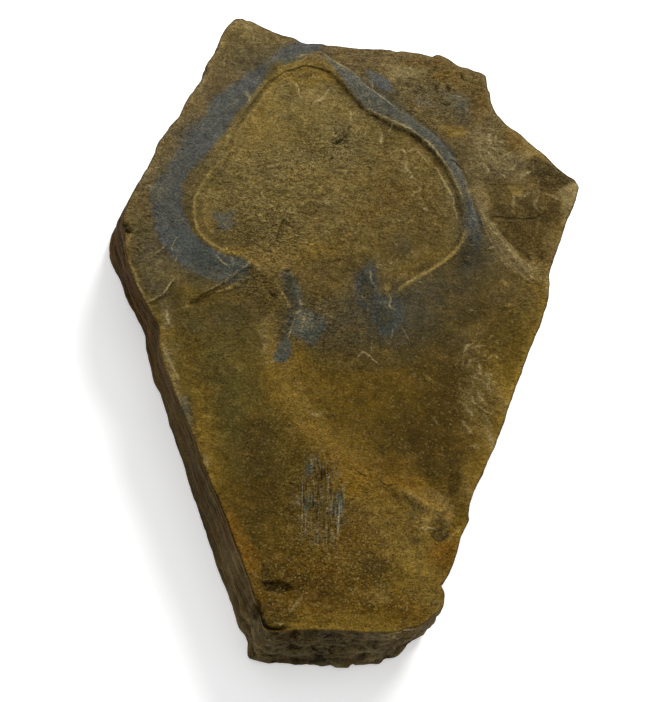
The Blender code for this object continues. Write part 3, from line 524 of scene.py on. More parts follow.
DARK = [
    (.20, (349.3, 126.5, .7), (348.7, 129, .9), (349, 131.5, .3)), (.16, (348, 132.5, .4), (346, 135, .9), (346.6, 137, .3)),
    (.18, (345, 136.6, .9), (342.6, 138, .6), (341.5, 139.6, .3)), (.25, (340.6, 140.2, .8), (338.6, 141.4, 1), (336.8, 143.3, .9)),
    (.14, (336, 142.5, .7), (333.5, 143.8, .7), (331.5, 144, .3)), (.15, (333.3, 149.5, .6), (332.3, 152.5, .3)),
    (.16, (332, 156.5, .6), (331.5, 158.5, 1), (330.5, 160, .5)), (.12, (339, 136, .3), (334.5, 138.5, .5), (330, 139, .3)),
    (.12, (343, 143.5, .3), (348, 142.3, .5), (352, 143, .3)), (.12, (326, 147, .3), (321, 148.5, .5), (316, 148, .3)),
    (.12, (337, 147.5, .3), (343, 148.6, .5), (348, 148, .3)), (.12, (322, 153, .3), (316, 155.5, .4), (311, 155, .3)),
    (.15, (288, 208, .4), (285, 211, .6), (284, 215, .4)),
    (.14, (283.8, 219.6, .8), (282, 222.8, 1), (281.2, 225, .5)), (.15, (280.3, 227, .4), (279.6, 230, .7), (278.4, 232.5, .3)),
    (.12, (278, 235, .5), (277, 238, .5)),
    (.12, (284.5, 223, .7), (286.5, 224, .8), (289, 226.3, .7)), (.18, (217.5, 227.5, .9), (221, 228.3, .8)),
    (.18, (451.5, 161, .8), (455, 162.3, .9), (457.5, 165.3, 1), (460.5, 168.3, .7)),
    (.14, (494, 216.3, .8), (500, 217.3, 1), (506, 217.5, .9)), (.14, (508, 218.6, .5), (514, 218.7, .7), (520, 218.9, .5)),
    (.14, (525, 218.8, .7), (530, 218.6, .9), (535, 218.4, .8), (537.5, 216.5, .6), (543, 214.3, .4)),
    (.14, (356, 472.3, .5), (359, 475, .9), (363, 477.2, .9), (366, 478, .5)),
    (.10, (368.5, 471, .3), (368.5, 475, .6), (370, 479, .5), (374, 479.5, .5), (376.5, 477, .4)),
    (.16, (380.5, 483, .6), (383.5, 486, .9), (387, 487.3, .8), (391.5, 486, .7)),
    (.10, (380, 479.5, .4), (384, 478.3, .4), (389, 478.8, .4), (392, 482.5, .4)),
    (.22, (321.5, 471, .8), (321.5, 478, .9)), (.20, (324.3, 473, .6), (324.5, 475.5, .7)),
    (.20, (327.5, 470, .7), (327.3, 474, .5)), (.16, (291, 483.5, .9), (295, 484, .5)),
    (.16, (313, 496, .5), (313.5, 505, .6)), (.18, (318, 488, .5), (318, 496, .6)),
    (.18, (333, 508, .5), (333, 516, .6)), (.30, (341.5, 521, .6), (342, 525, .5)),
    (.18, (316.5, 512, .5), (316, 519, .5)), (.16, (323.5, 516, .4), (324, 527, .5)),
    (.16, (306.5, 480, .4), (306, 488, .5)), (.14, (330.5, 518, .4), (330.5, 526, .4)),
    # painted shadow below the lower ledge on the left
    (.17, (192, 302, .5), (197, 300.5, .6), (203, 297, .6), (208, 294, .5), (215, 292.3, .5), (222, 291.5, .6),
     (229, 290, .7), (234, 288, .7), (240, 286.5, .4)),
    (.45, (270, 291, .7), (273, 294, 1), (275, 296, .8)),
    (.20, (285, 270.3, .8), (289, 271, 1), (291, 269.5, .6)),
    (.12, (262, 165, .3), (270, 162.5, .5), (278, 161.5, .5), (285, 160, .3)),
    (.12, (263, 170.3, .4), (271, 168.6, .5), (279, 167.5, .4)), (.12, (258, 157, .3), (266, 155, .4), (273, 155.5, .3)),
    (.10, (250, 152, .3), (262, 150.5, .3)), (.13, (355, 192, .3), (362, 190.3, .6), (368, 188.2, .6), (372, 187, .3)),
    (.12, (312, 185, .4), (320, 184.8, .5), (330, 183.5, .4)), (.25, (462, 74, .8), (462.8, 77.5, .9)),
    (.18, (440, 101, .5), (443, 103.5, .8), (447, 104.3, .9), (450.5, 103.5, .6)),
    (.14, (406, 111.5, .4), (411, 110.5, .6), (415, 112, .5)), (.30, (436, 86, .7), (437, 90, .6)),
    (.30, (447, 85, .6), (449, 90, .6)), (.25, (455, 91, .5), (457, 93, .5)), (.20, (433, 99.5, .4), (437, 101, .6)),
    (.35, (122, 222.5, .9), (126, 225, .9)), (.40, (126.5, 229.5, .9), (129.5, 231.5, .9)),
    (.30, (124, 237.5, .7), (123.5, 240, .5)), (.30, (124.5, 251, .8), (127, 255, .6)), (.20, (132, 248, .4), (138, 250.5, .5)),
    (.22, (195, 441, .5), (203, 462, .6), (211, 482, .7), (216, 492, .8), (223, 510, .8), (229, 525, .8),
     (235, 541, .8), (241, 556, .7), (246, 571, .7), (251, 586, .6), (255, 597, .6)),
    # painted shadow along the top margin of the theca, under its ledge wall
    (.20, (330, 72, .7), (322, 69, .8), (312, 66.5, .9), (305, 66, .9), (298, 67.8, .8), (290, 70, .7),
     (284, 72, .7), (277, 76.8, .6), (272, 80, .6), (267, 84, .6), (262, 90, .5), (257, 97, .5),
     (252, 103.5, .5), (246, 110.5, .4), (241, 116.5, .3)),
    (.12, (352.5, 103.3, .5), (355.5, 101, .6)), (.14, (263, 570, .6), (267.5, 568.5, .7)),
    (.70, (450.5, 480, .15), (452, 487, .3), (453.5, 494, .2)), (.16, (300, 366, .3), (300.5, 370, .5), (301, 374, .4)),
    (.16, (431, 535.5, .4), (434, 539, .6), (440, 541.5, .6), (446, 535, .5), (448.5, 530, .4)),
    (.14, (238, 178, .3), (246, 180, .4), (252, 179, .3)), (.14, (300, 200, .3), (310, 198, .4), (318, 199, .3)),
    (.14, (330, 170, .3), (338, 168, .4), (345, 169, .3)), (.12, (214, 208, .3), (220, 210, .4)),
    (.20, (528, 256, .5), (530, 260, .5)), (.14, (364, 258, .4), (368, 260.5, .5)), (.14, (452, 276, .3), (460, 275, .3)),
]
# a deep crevice that runs round the lower left corner, just inside the edge
CREVICE = path((256.5, 595, .2), (259, 603, .7), (261.3, 611, 1), (262.5, 617, 1), (264.5, 622.5, 1),
               (268.5, 626.8, 1), (275, 628.4, 1), (283, 628.0, .8), (290, 627.4, .3))
# small hollows and flakes: x, y, rx, ry by pixel, turn, height in mm
CHIPS = [
    (276.5, 586, 14, 5.0, -2, -.75), (265, 574, 3.5, 9, 8, -.30), (440, 534.5, 8.5, 5.5, -6, -.12),
    (386, 482.5, 6.5, 4.5, 20, .22), (454, 484, 6, 12, -8, -.18), (124, 224, 4, 3, 0, -.6),
    (128, 230.5, 3.5, 2.5, 0, -.7), (124, 238, 2, 3, 0, -.45), (126, 252, 3, 4, 0, -.4),
    (273, 293, 3.5, 3.5, 0, -.35), (462.5, 76, 1.6, 2.6, 0, -.35), (338.5, 141.5, 3.6, 1.6, 35, -.20),
    (282, 223, 1.8, 3.0, -20, -.14), (156, 331, 4, 4, 0, -.7), (269, 618, 6, 6, 0, .25),
    (437, 88, 2.5, 3, 0, -.3), (448, 88, 2.5, 3, 0, -.3), (446, 103.5, 4, 1.8, -8, -.3),
    (508, 305, 3, 2, 0, .15), (490, 140, 3, 8, 0, .12), (524, 174, 5, 3, 20, .12), (427, 208, 2, 2, 0, .12),
    (362, 476, 12, 5, -10, .12), (410, 483, 12, 4, -5, -.12), (250, 98, 4, 3, 0, .10),
]

pale_lines = [(resample(path(*line), 0.5, False), w) for w, *line in PALE]
yellow_lines = [(resample(path(*line), 0.5, False), w) for w, *line in YELLOW]
dark_lines = [(resample(path(*line), 0.5, False), w) for w, *line in DARK]
crevice = resample(CREVICE, 0.4, False)


def channels(lines, most, apart=2.5):
    """LINES sorted into at most MOST groups whose members keep well apart."""
    groups = [[] for _ in range(most)]
    for line, w in lines:
        def room(group):
            return min((np.hypot(line[:, None, 0] - other[None, :, 0],
                                 line[:, None, 1] - other[None, :, 1]).min()
                        for other, _ in group), default=99.0)
        spaces = [room(group) for group in groups]
        pick = next((i for i, v in enumerate(spaces) if v > apart), int(np.argmax(spaces)))
        groups[pick].append((line, w))
    return groups


def line_field(x, y, lines):
    """Distance to the nearest of LINES in half widths, signed by side so that it
    runs straight through a line, and the strength there. Away from the lines the
    strength is nil."""
    q = np.full(x.shape, 9.0)
    s = np.zeros(x.shape)
    best = np.full(x.shape, 9.0)
    for line, w in lines:
        d, side, cols = nearest(x, y, line, 2.2)
        hit = d < best
        q = np.where(hit, np.clip(d * side / w, -9, 9), q)
        s = np.where(hit, cols[..., 0] * smooth(1.15, 0.75, d), s)
        best = np.where(hit, d, best)
    return q, s


LINE_SETS = [("pale", pale_lines, 3), ("yellow", yellow_lines, 1), ("dark", dark_lines, 2)]
line_names = [f"{name}{i}" for name, _, most in LINE_SETS for i in range(most)]


class Face:
    """Everything that is known about the points of the fossil face."""

    def __init__(self, x, y, rim):
        self.x, self.y = x, y
        loop = np.vstack([theca, theca[:1]])
        d, _, cols = nearest(x, y, loop)
        self.deep = np.where(inside(x, y, theca), d, -d)
        self.sink, self.round = cols[..., 0], cols[..., 1]
        self.cord_d, self.cord_side, self.cord = nearest(x, y, cord, 8.0)
        self.tail_d, self.tail_side, self.tail = nearest(x, y, tail, 16.0)
        self.rim_d = np.minimum(nearest(x, y, np.vstack([rim, rim[:1]])[::2], None)[0], 60)
        self.lines = {}
        self.crest = np.zeros_like(x)
        self.crack_and_shadow = np.zeros_like(x)
        for name, lines, most in LINE_SETS:
            for i, group in enumerate(channels(lines, most)):
                q, strength = line_field(x, y, group)
                self.lines[f"{name}{i}"] = (q, strength)
                width = np.exp(-(q / 1.5) ** 2) * strength
                if name == "dark":
                    self.crack_and_shadow = np.maximum(self.crack_and_shadow, width)
                else:
                    self.crest = np.maximum(self.crest, width)
        d, _, cols = nearest(x, y, crevice, 3.0)
        self.crevice = cols[..., 0] * np.exp(-(d / 0.42) ** 2)

    def form(self):
        """The CAD solid's relief."""
        x, y = self.x, self.y
        z = 0.28 * noise(x, y, 0.0, 26.0, 1) + 0.13 * noise(x, y, 0.0, 9.0, 2)
        deep = self.deep
        floor = THECA_SINK * (FLOOR_SHARE + (self.sink - FLOOR_SHARE) * np.exp(-np.maximum(deep, 0) / 5.5))
        edge = deep + 0.10 * noise(x, y, 1.0, 1.6, 63)
        z = z - floor * smooth(-0.20, 0.42, edge)
        low = 1 - smooth(0.5, 0.9, self.sink)
        there = smooth(0.08, 0.25, self.sink)
        z = z + RIM_HEIGHT * low * there * np.exp(-((edge - 0.45) / 0.48) ** 2)
        z = z + CORD_HEIGHT * np.exp(-(self.cord_d / np.maximum(self.cord[..., 0], 0.3)) ** 4) \
            * ends(self.cord[..., 1], length_of(cord), 6.0) * (self.cord_d < 8)
        body = np.exp(-(self.tail_d / np.maximum(self.tail[..., 0], 1.0)) ** 2 * 1.1) * (self.tail_d < 16)
        z = z + TAIL_HEIGHT * self.tail[..., 1] * body * smooth(0, 5, self.tail[..., 2])
        self.tail_body = body
        self.ledge = np.zeros_like(x)
        for line, drop, reach, width in steps:
            d, side, cols = nearest(x, y, line, 45.0)
            d2 = d + 0.12 * noise(x, y, 2.0, 1.4, 64) * side
            down = smooth(-0.22, width, -side * d2) * np.exp(-np.where(side < 0, d, 0) / reach)
            fade = ends(cols[..., 0], length_of(line), 3.0 + 0.9 * d)
            z = z - drop * down * fade
            self.ledge = np.maximum(self.ledge, fade * np.exp(-(d / 0.6) ** 2) * drop)
        for cx, cy, rx, ry, h in LUMPS:
            z = z + h * np.exp(-((x - cx) / rx) ** 2 - ((y - cy) / ry) ** 2)
        return z

    def fine(self):
        """What the CAD solid is too coarse to carry."""
        x, y = self.x, self.y
        z = 0.11 * noise(x, y, 0.0, 4.6, 3) + 0.065 * noise(x, y, 0.0, 2.3, 4) + 0.034 * noise(x, y, 0.0, 1.15, 5)
        # short wrinkles that lie across the theca and the stone round it
        wrinkle = noise(x / 2.9, y + 0.5 * noise(x, y, 0.0, 6.0, 6), 0.0, 1.05, 7)
        z = z + (0.030 + 0.032 * smooth(-14, 2, self.deep)) * wrinkle
        # thin beds that flaked off in steps
        field = 2.1 * noise(x, y, 0.0, 15.0, 8) + 0.8 * noise(x, y, 0.0, 5.0, 9) + 0.25 * noise(x, y, 0.0, 2.0, 10)
        whole = np.floor(field * 1.6)
        part = field * 1.6 - whole
        shelf = (whole + smooth(0.0, 0.10, part)) / 1.6
        flaky = flaky_mask(x, y)
        z = z + 0.16 * flaky * (shelf - field * 0.9)
        # raised threads, open cracks and the corner crevice
        z = z + 0.07 * self.crest - 0.16 * self.crack_and_shadow - 1.25 * self.crevice
        for cx, cy, rx, ry, turn, h in CHIPS:
            mx, my = at(cx, cy)
            c, n = math.cos(math.radians(turn)), math.sin(math.radians(turn))
            near = np.nonzero((np.abs(x - mx) < 6) & (np.abs(y - my) < 6))[0]
            xs, ys = x[near] - mx, y[near] - my
            u = (xs * c + ys * n) / (0.2245 * rx)
            v = (-xs * n + ys * c) / (0.2415 * ry)
            r = np.hypot(u, v) + 0.16 * noise(x[near], y[near], 6.0, 1.2, 65)
            z[near] += h * smooth(1.25, 0.75, r)
        # worn and chipped rim
        d = self.rim_d
        wear = 0.16 + 0.40 * smooth(0.0, 0.9, noise(x, y, 0.0, 7.0, 12))
        z = z - 0.10 * np.exp(-d / wear)
        chip = smooth(0.22, 0.70, noise(x, y, 0.0, 3.0, 13))
        z = z - 0.50 * chip * smooth(1.3, 0.15, d)
        return z


FLAKY = [   # x, y, rx, ry in pixels, strength
    (150, 275, 45, 38, 1.0), (235, 275, 40, 25, .7), (470, 110, 50, 45, 1.0), (510, 190, 55, 60, .8),
    (490, 390, 45, 70, .7), (262, 30, 40, 22, .9), (395, 72, 45, 22, .7), (420, 505, 45, 35, 1.0),
    (170, 350, 18, 40, .8), (300, 320, 35, 45, .6), (290, 600, 40, 30, .5), (410, 600, 45, 30, .5),
]


def blob(x, y, cx, cy, rx, ry, turn=0.0):
    """A soft spot, given in pixels of the frame."""
    mx, my = at(cx, cy)
    sx, sy = 0.2245 * rx, 0.2415 * ry
    c, s = math.cos(math.radians(turn)), math.sin(math.radians(turn))
    u, v = (x - mx) * c + (y - my) * s, -(x - mx) * s + (y - my) * c
    return np.exp(-((u / sx) ** 2 + (v / sy) ** 2))


def flaky_mask(x, y):
    m = np.zeros_like(x)
    for cx, cy, rx, ry, s in FLAKY:
        m = np.maximum(m, s * smooth(0.12, 0.7, blob(x, y, cx, cy, rx, ry)))
    return m


# ======================================================================  stains
# Each stain is laid as soft spots: (x, y, rx, ry, turn, strength), in
# pixels of the frame and degrees. Streaks are lines with a half width.
SPOTS = {
    "gold": [
        (258, 128, 14, 18, 30, .40), (305, 77, 26, 6, 0, .85), (316, 251, 13, 6, 0, .8), (262, 108, 6, 14, -35, .55), (312, 252, 14, 6, 0, .55), (335, 247, 14, 10, 0, .35),
        (262, 262, 14, 7, -35, .55), (235, 252, 16, 5, 5, .6), (435, 258, 34, 8, 35, .50), (410, 150, 26, 10, -30, .25),
        (395, 72, 26, 9, 5, .35), (412, 66, 16, 7, 0, .35),
        (258, 30, 24, 12, -20, .40), (166, 275, 20, 13, 20, .30), (185, 289, 16, 6, 20, .30),
        (213, 293, 26, 6, 25, .62), (167, 331, 8, 6, 0, .7), (268, 350, 9, 34, 0, .62),
        (299, 352, 7, 24, 0, .45), (276, 385, 18, 22, 0, .45), (290, 405, 22, 20, -40, .35),
        (335, 448, 44, 22, -40, .55), (366, 474, 30, 14, -25, .50), (410, 484, 24, 7, -8, .65),
        (385, 520, 34, 26, -35, .35), (412, 566, 30, 26, 0, .62), (428, 540, 18, 20, 0, .35),
        (455, 536, 6, 8, 0, .85), (340, 618, 62, 10, 0, .70), (290, 611, 24, 12, 0, .45),
        (378, 597, 18, 9, 0, .42), (420, 612, 20, 14, 10, .30), (440, 590, 14, 20, 0, .25),
        (207, 425, 11, 30, 22, .55), (196, 398, 11, 22, 20, .40), (222, 470, 9, 30, 22, .35),
        (512, 190, 13, 9, 0, .75), (458, 82, 18, 9, 0, .55), (545, 160, 14, 8, -40, .35),
        (557, 225, 9, 34, 12, .50), (541, 292, 10, 30, 6, .70), (528, 335, 12, 26, 18, .55),
        (505, 395, 9, 40, 20, .85), (488, 440, 9, 30, 22, .60), (474, 480, 8, 26, 20, .5),
        (497, 362, 20, 16, 0, .35), (480, 405, 16, 26, 0, .40), (522, 285, 16, 12, 0, .25),
        (300, 560, 36, 20, 0, .15), (250, 300, 30, 10, 10, .15), (195, 170, 10, 10, 0, .1),
        (507, 307, 6, 5, 0, .25), (355, 395, 30, 18, 0, .12), (472, 470, 9, 24, 18, .60),
        (350, 470, 40, 22, -35, .25), (300, 385, 40, 26, 0, .15), (350, 410, 40, 26, 0, .15),
    ],
    "pale": [
        (571, 196, 6, 14, -12, .75), (485, 201, 5, 11, -22, .70), (491, 438, 4, 16, 22, .65), (503, 408, 4, 16, 20, .45),
        (526, 150, 8, 4, -10, .45), (489, 141, 5, 10, 0, .6), (485, 160, 8, 6, 0, .45), (468, 486, 4, 12, 15, .45),
        (300, 96, 16, 7, 0, .45), (252, 27, 9, 5, -20, .55), (400, 71, 12, 5, 0, .55), (263, 345, 4, 12, 0, .45),
        (368, 95, 8, 3, 40, .0), (345, 60, 18, 5, 5, .25), (200, 88, 5, 10, 20, .5),
        (252, 26, 18, 8, -22, .55), (268, 40, 14, 8, -20, .45), (247, 38, 8, 6, 0, .3),
        (398, 74, 20, 8, 0, .50), (566, 196, 8, 13, -20, .85), (560, 222, 6, 22, 12, .40),
        (548, 285, 6, 14, 0, .50), (535, 272, 14, 7, -35, .45), (518, 254, 14, 5, -45, .50),
        (487, 145, 18, 13, 0, .55), (478, 130, 12, 9, 0, .35), (500, 160, 14, 9, 0, .35),
        (473, 190, 9, 12, -35, .35), (491, 228, 9, 16, -38, .40), (520, 195, 8, 8, 0, .3),
        (478, 398, 14, 22, 0, .45), (480, 372, 10, 14, 0, .30), (466, 345, 12, 8, 0, .25),
        (168, 362, 5, 24, 14, .65), (180, 398, 5, 16, 22, .45), (166, 316, 5, 9, 0, .55),
        (232, 246, 16, 4, -12, .25), (430, 527, 12, 5, -20, .45), (312, 94, 26, 10, 0, .28),
        (300, 320, 8, 10, 0, .25), (308, 506, 5, 12, 0, .0), (154, 268, 12, 12, 0, .15),
        # the last spot here is a painted highlight along the top edge of the bottom wall
        (150, 180, 18, 26, 35, .28), (205, 108, 6, 14, 40, .2), (330, 632, 40, 3, 0, .3),
        (372, 597, 12, 7, 0, .20), (345, 175, 30, 12, 0, .12), (408, 480, 10, 4, 0, .2),
        (199, 500, 3, 30, 20, .2), (520, 150, 10, 8, 0, .25), (462, 66, 8, 5, 0, .25),
        (505, 195, 6, 5, 0, .4), (415, 95, 10, 6, 0, .2),
    ],
    "blue": [
        (203, 135, 20, 17, 45, .85), (188, 160, 18, 18, 50, .80), (176, 190, 19, 24, 70, .85),
        (175, 214, 20, 18, 0, .75), (190, 236, 24, 14, -20, .65), (224, 262, 28, 13, -12, .70),
        (240, 272, 16, 8, 0, .35), (232, 103, 22, 13, 50, .65), (262, 76, 22, 11, 40, .50),
        (292, 56, 22, 8, 20, .55), (316, 46, 18, 6, 0, .35), (228, 220, 13, 11, 0, .30),
        (262, 195, 6, 6, 0, .45), (293, 290, 10, 16, -15, .65), (303, 325, 16, 13, 0, .80),
        (312, 332, 14, 12, 0, .55), (281, 351, 8, 12, 0, .45), (287, 330, 9, 14, 0, .25),
        (367, 286, 12, 16, 0, .85), (372, 270, 8, 10, 0, .55), (386, 318, 15, 16, -10, .90),
        (405, 318, 30, 16, 0, .20), (340, 320, 36, 16, 0, .30), (400, 300, 22, 16, 0, .35),
        (322, 275, 10, 18, 0, .15), (350, 300, 20, 16, 0, .25),
        (469, 262, 8, 14, 0, .55), (378, 84, 14, 7, -25, .60), (468, 105, 12, 14, 0, .40),
        (448, 98, 12, 10, 0, .40), (310, 470, 5, 8, 0, .75), (306, 504, 6, 8, 0, .80),
        (339, 503, 6, 12, 0, .75), (325, 500, 16, 26, 0, .18), (325, 200, 12, 6, 0, .25),
        (405, 243, 16, 10, 0, .25), (420, 288, 24, 12, 20, .25), (154, 285, 14, 12, 0, .35),
        (187, 420, 4, 24, 20, .25), (522, 205, 6, 6, 0, .2), (413, 512, 12, 9, -40, .25),
        (350, 130, 10, 10, 0, .2), (182, 402, 5, 12, 20, .35),
    ],
    "grey": [
        (500, 298, 18, 14, 0, .65), (480, 242, 14, 18, -30, .60), (520, 300, 12, 16, 0, .3), (445, 275, 30, 14, 20, .5),
        (200, 175, 60, 70, 50, .35), (175, 230, 50, 36, 0, .40), (210, 262, 50, 20, -10, .45),
        (150, 255, 34, 24, 0, .35), (160, 285, 26, 18, 0, .30), (245, 60, 38, 24, 30, .40),
        (225, 90, 40, 30, 50, .35), (290, 60, 34, 14, 10, .40), (430, 290, 46, 20, 10, .60),
        (400, 325, 60, 22, 0, .60), (455, 300, 34, 26, 0, .55), (335, 322, 55, 20, 0, .50),
        (300, 300, 28, 34, 0, .45), (470, 252, 22, 22, 0, .65), (490, 270, 26, 14, -30, .45),
        (485, 330, 30, 20, 0, .35), (455, 345, 30, 16, 0, .35), (440, 100, 34, 22, 0, .45),
        (420, 90, 24, 16, 0, .35), (250, 292, 40, 14, 0, .35), (280, 340, 14, 26, 0, .45),
        (370, 285, 24, 26, 0, .45), (300, 500, 26, 40, 0, .10), (230, 330, 50, 22, 0, .25),
        (500, 165, 26, 16, 0, .25), (365, 100, 26, 18, -35, .45), (460, 175, 12, 26, -20, .5),
        (470, 215, 12, 30, -10, .6), (360, 232, 16, 8, 0, .2), (310, 118, 24, 16, 0, .12),
        (345, 138, 14, 14, 0, .25), (225, 222, 24, 20, 0, .22), (178, 168, 34, 34, 50, .30),
    ],
    "olive": [
        (225, 330, 55, 40, 0, .45), (240, 395, 34, 50, 10, .75), (255, 450, 34, 44, 15, .80),
        (275, 500, 34, 26, 0, .55), (222, 380, 18, 40, 10, .40), (250, 520, 26, 26, 0, .40),
        (345, 128, 18, 16, 0, .35), (290, 228, 26, 10, 0, .40), (400, 245, 34, 18, 0, .40),
        (270, 210, 30, 20, 0, .25), (375, 568, 16, 13, 0, .60), (345, 560, 30, 20, 0, .35),
        (410, 510, 22, 12, -40, .45), (160, 285, 34, 20, 0, .25), (430, 110, 30, 20, 0, .3),
        (330, 118, 26, 12, 0, .15), (385, 148, 20, 20, 0, .15), (220, 540, 10, 30, 20, .2),
        (430, 220, 30, 30, 0, .15), (200, 330, 40, 20, 0, .25), (305, 540, 30, 24, 0, .30),
    ],
    "dark": [
        (425, 440, 48, 36, 0, .75), (455, 400, 22, 34, 0, .60), (455, 470, 14, 22, 0, .60),
        (400, 420, 60, 40, 0, .35), (440, 375, 40, 30, 0, .35), (545, 178, 26, 13, -25, .95), (562, 172, 12, 9, -30, .7),
        (525, 230, 30, 24, 0, .60), (505, 215, 24, 20, 0, .50), (535, 205, 18, 14, 0, .45),
        (276, 587, 15, 5, -3, .95), (290, 585, 34, 16, 0, .50), (270, 572, 16, 14, 0, .40),
        (455, 484, 6, 12, 0, .35), (440, 536, 9, 6, 0, .35), (441, 100, 14, 8, 0, .40),
        (455, 112, 10, 8, 0, .35), (270, 495, 44, 22, 0, .30), (262, 540, 22, 30, 0, .30),
        (312, 585, 44, 16, 0, .35), (360, 590, 12, 14, 0, .2), (250, 275, 16, 5, 25, .35),
        (292, 225, 14, 7, 0, .40), (345, 136, 8, 10, 25, .55), (420, 345, 40, 14, 0, .20),
        (384, 480, 12, 6, 0, .40), (262, 618, 6, 16, 10, .70), (195, 298, 10, 4, 20, .7),
        (120, 225, 12, 12, 0, .55), (440, 575, 6, 10, 0, .2), (470, 60, 14, 5, -10, .25),
        (480, 85, 8, 10, 0, .3), (410, 605, 16, 8, 0, .2), (500, 180, 12, 6, 0, .25),
        (395, 245, 20, 8, 0, .2), (374, 569, 13, 8, 0, .55), (404, 614, 10, 7, 0, .50), (350, 540, 20, 12, 0, .2),
        (262, 470, 26, 40, 15, .35), (258, 425, 14, 30, 12, .30),
    ],
    "rust": [
        (238, 535, 9, 24, 22, .85), (253, 568, 8, 22, 20, .90), (262, 590, 8, 12, 20, .60),
        (442, 554, 13, 13, 0, .90), (450, 540, 8, 9, 0, .40), (405, 485, 28, 6, -6, .60),
        (455, 82, 22, 12, 0, .45), (480, 105, 12, 20, 0, .30), (320, 606, 50, 12, 0, .40),
        (395, 612, 30, 12, 0, .40), (300, 582, 34, 20, 0, .35), (375, 475, 30, 12, -20, .35),
        (295, 270, 12, 10, 0, .40), (330, 60, 26, 8, 0, .20), (400, 60, 60, 7, 3, .35),
        (302, 40, 20, 6, -20, .30), (168, 330, 9, 7, 0, .55), (205, 300, 22, 6, 20, .35),
        (345, 470, 30, 16, -40, .35), (330, 440, 30, 18, -40, .25), (385, 170, 40, 26, 0, .2),
        (370, 210, 50, 30, 0, .18), (350, 370, 50, 26, 0, .22), (296, 350, 9, 20, 0, .30),
        (215, 500, 8, 16, 20, .4), (450, 460, 12, 16, 0, .25), (440, 130, 12, 14, 0, .2),
        (510, 265, 8, 8, 0, .2), (360, 540, 40, 26, 0, .18), (250, 45, 10, 10, 0, .2),
        (118, 240, 8, 16, 0, .3), (545, 330, 5, 16, 15, .3), (345, 542, 30, 16, 0, .35), (404, 614, 14, 8, 0, .4),
        (300, 588, 30, 10, 0, .35), (400, 192, 34, 22, 0, .35), (240, 505, 16, 14, 0, .3), (345, 575, 30, 12, 0, .25),
    ],
    "straw": [
        (300, 232, 30, 12, 0, .45), (255, 140, 30, 40, -30, .35), (350, 175, 40, 22, 0, .35), (215, 205, 10, 26, 0, .35),
        (265, 118, 12, 30, -32, .80), (285, 92, 20, 12, -20, .60), (300, 86, 22, 8, 0, .65), (240, 150, 10, 16, -32, .5),
        (300, 130, 44, 34, 0, .45), (270, 160, 40, 26, 0, .35),
        (262, 103, 42, 17, 50, .90), (242, 140, 26, 16, 50, .55), (300, 150, 66, 50, 0, .55),
        (310, 95, 40, 18, 0, .60), (255, 185, 42, 36, 0, .50), (225, 195, 24, 30, 0, .40),
        (300, 175, 60, 26, 0, .45), (300, 254, 40, 13, 0, .45), (375, 190, 40, 30, 0, .25),
        (330, 225, 40, 20, 0, .25), (340, 110, 26, 20, 0, .45), (370, 150, 30, 24, 0, .35),
        (432, 250, 20, 14, 20, .45), (160, 270, 30, 16, 0, .25), (205, 200, 12, 30, 0, .3),
    ],
    "slate": [
        (467, 252, 7, 13, 0, .85), (367, 290, 7, 12, 0, .60), (372, 310, 9, 10, 0, .35), (384, 322, 8, 10, 0, .5),
        (288, 285, 6, 10, -15, .55), (284, 318, 6, 10, 0, .4), (413, 517, 6, 8, -30, .4), (378, 570, 10, 7, 0, .30),
        (281, 587, 10, 4, 0, .5), (187, 402, 5, 9, 20, .45), (122, 224, 5, 4, 0, .6), (438, 538, 6, 3, 0, .3),
        (333, 200, 8, 5, -15, .35), (438, 572, 3, 5, 0, .45),
    ],
    "tan": [
        (525, 150, 18, 10, -10, .95), (484, 203, 9, 17, -22, .95), (572, 193, 9, 15, -10, .85), (550, 256, 6, 12, 10, .6),
        (272, 263, 22, 12, -20, .65), (420, 577, 14, 14, 0, .55), (410, 552, 20, 14, 0, .45), (300, 236, 24, 8, 0, .35),
        (492, 437, 8, 22, 22, .90), (473, 478, 7, 22, 15, .55), (503, 408, 7, 20, 20, .5), (553, 240, 6, 16, 10, .5),
        (268, 340, 6, 26, 0, .60), (390, 70, 18, 8, 5, .45), (200, 105, 7, 16, 38, .35), (214, 72, 8, 16, 30, .3),
        (398, 630, 14, 4, 0, .4), (174, 345, 8, 16, 10, .3), (395, 142, 8, 6, 0, .3), (240, 25, 14, 6, 0, .5),
        (418, 575, 10, 12, 0, .45), (475, 85, 8, 8, 0, .3), (440, 604, 6, 8, 0, .5), (350, 86, 12, 5, 40, .35),
        (340, 545, 40, 30, 0, .40), (415, 545, 26, 20, 0, .50), (372, 520, 24, 30, 0, .35),
        (285, 390, 12, 20, -10, .45), (304, 425, 16, 14, 0, .45), (275, 262, 24, 14, 0, .45),
        (244, 23, 10, 4, 0, .6), (425, 595, 16, 10, 0, .35), (362, 474, 14, 5, 0, .45),
    ],
    # corrections of brightness and tint, laid over the rest
    "dim": [
        (395, 165, 54, 46, 0, .32), (388, 192, 36, 26, 0, .40), (430, 218, 24, 24, 0, .35), (330, 270, 30, 13, 0, .50),
        (440, 250, 24, 16, -30, .32), (225, 190, 14, 28, 0, .34), (340, 182, 24, 16, 0, .28),
        (215, 293, 16, 6, 0, .35), (258, 452, 20, 26, 10, .45), (367, 289, 13, 17, 0, .75), (468, 254, 11, 17, 0, .80),
        (385, 318, 15, 13, 0, .40), (460, 300, 30, 18, 0, .45), (500, 300, 20, 16, 0, .35), (480, 240, 12, 20, -30, .35),
        (525, 350, 8, 20, 18, .25), (450, 78, 20, 9, 0, .50), (376, 570, 14, 10, 0, .50), (205, 268, 18, 12, 0, .35),
        (550, 174, 20, 9, -20, .55), (520, 222, 26, 20, 0, .42), (455, 400, 24, 34, 0, .20), (425, 440, 34, 26, 0, .22),
        (464, 196, 6, 16, -22, .60), (250, 60, 18, 14, 30, .40), (480, 100, 14, 18, 0, .35), (560, 225, 4, 12, 10, .30),
        (300, 586, 24, 9, 0, .42), (457, 360, 20, 10, 0, .32), (430, 340, 30, 14, 0, .22), (440, 150, 6, 14, -35, .25),
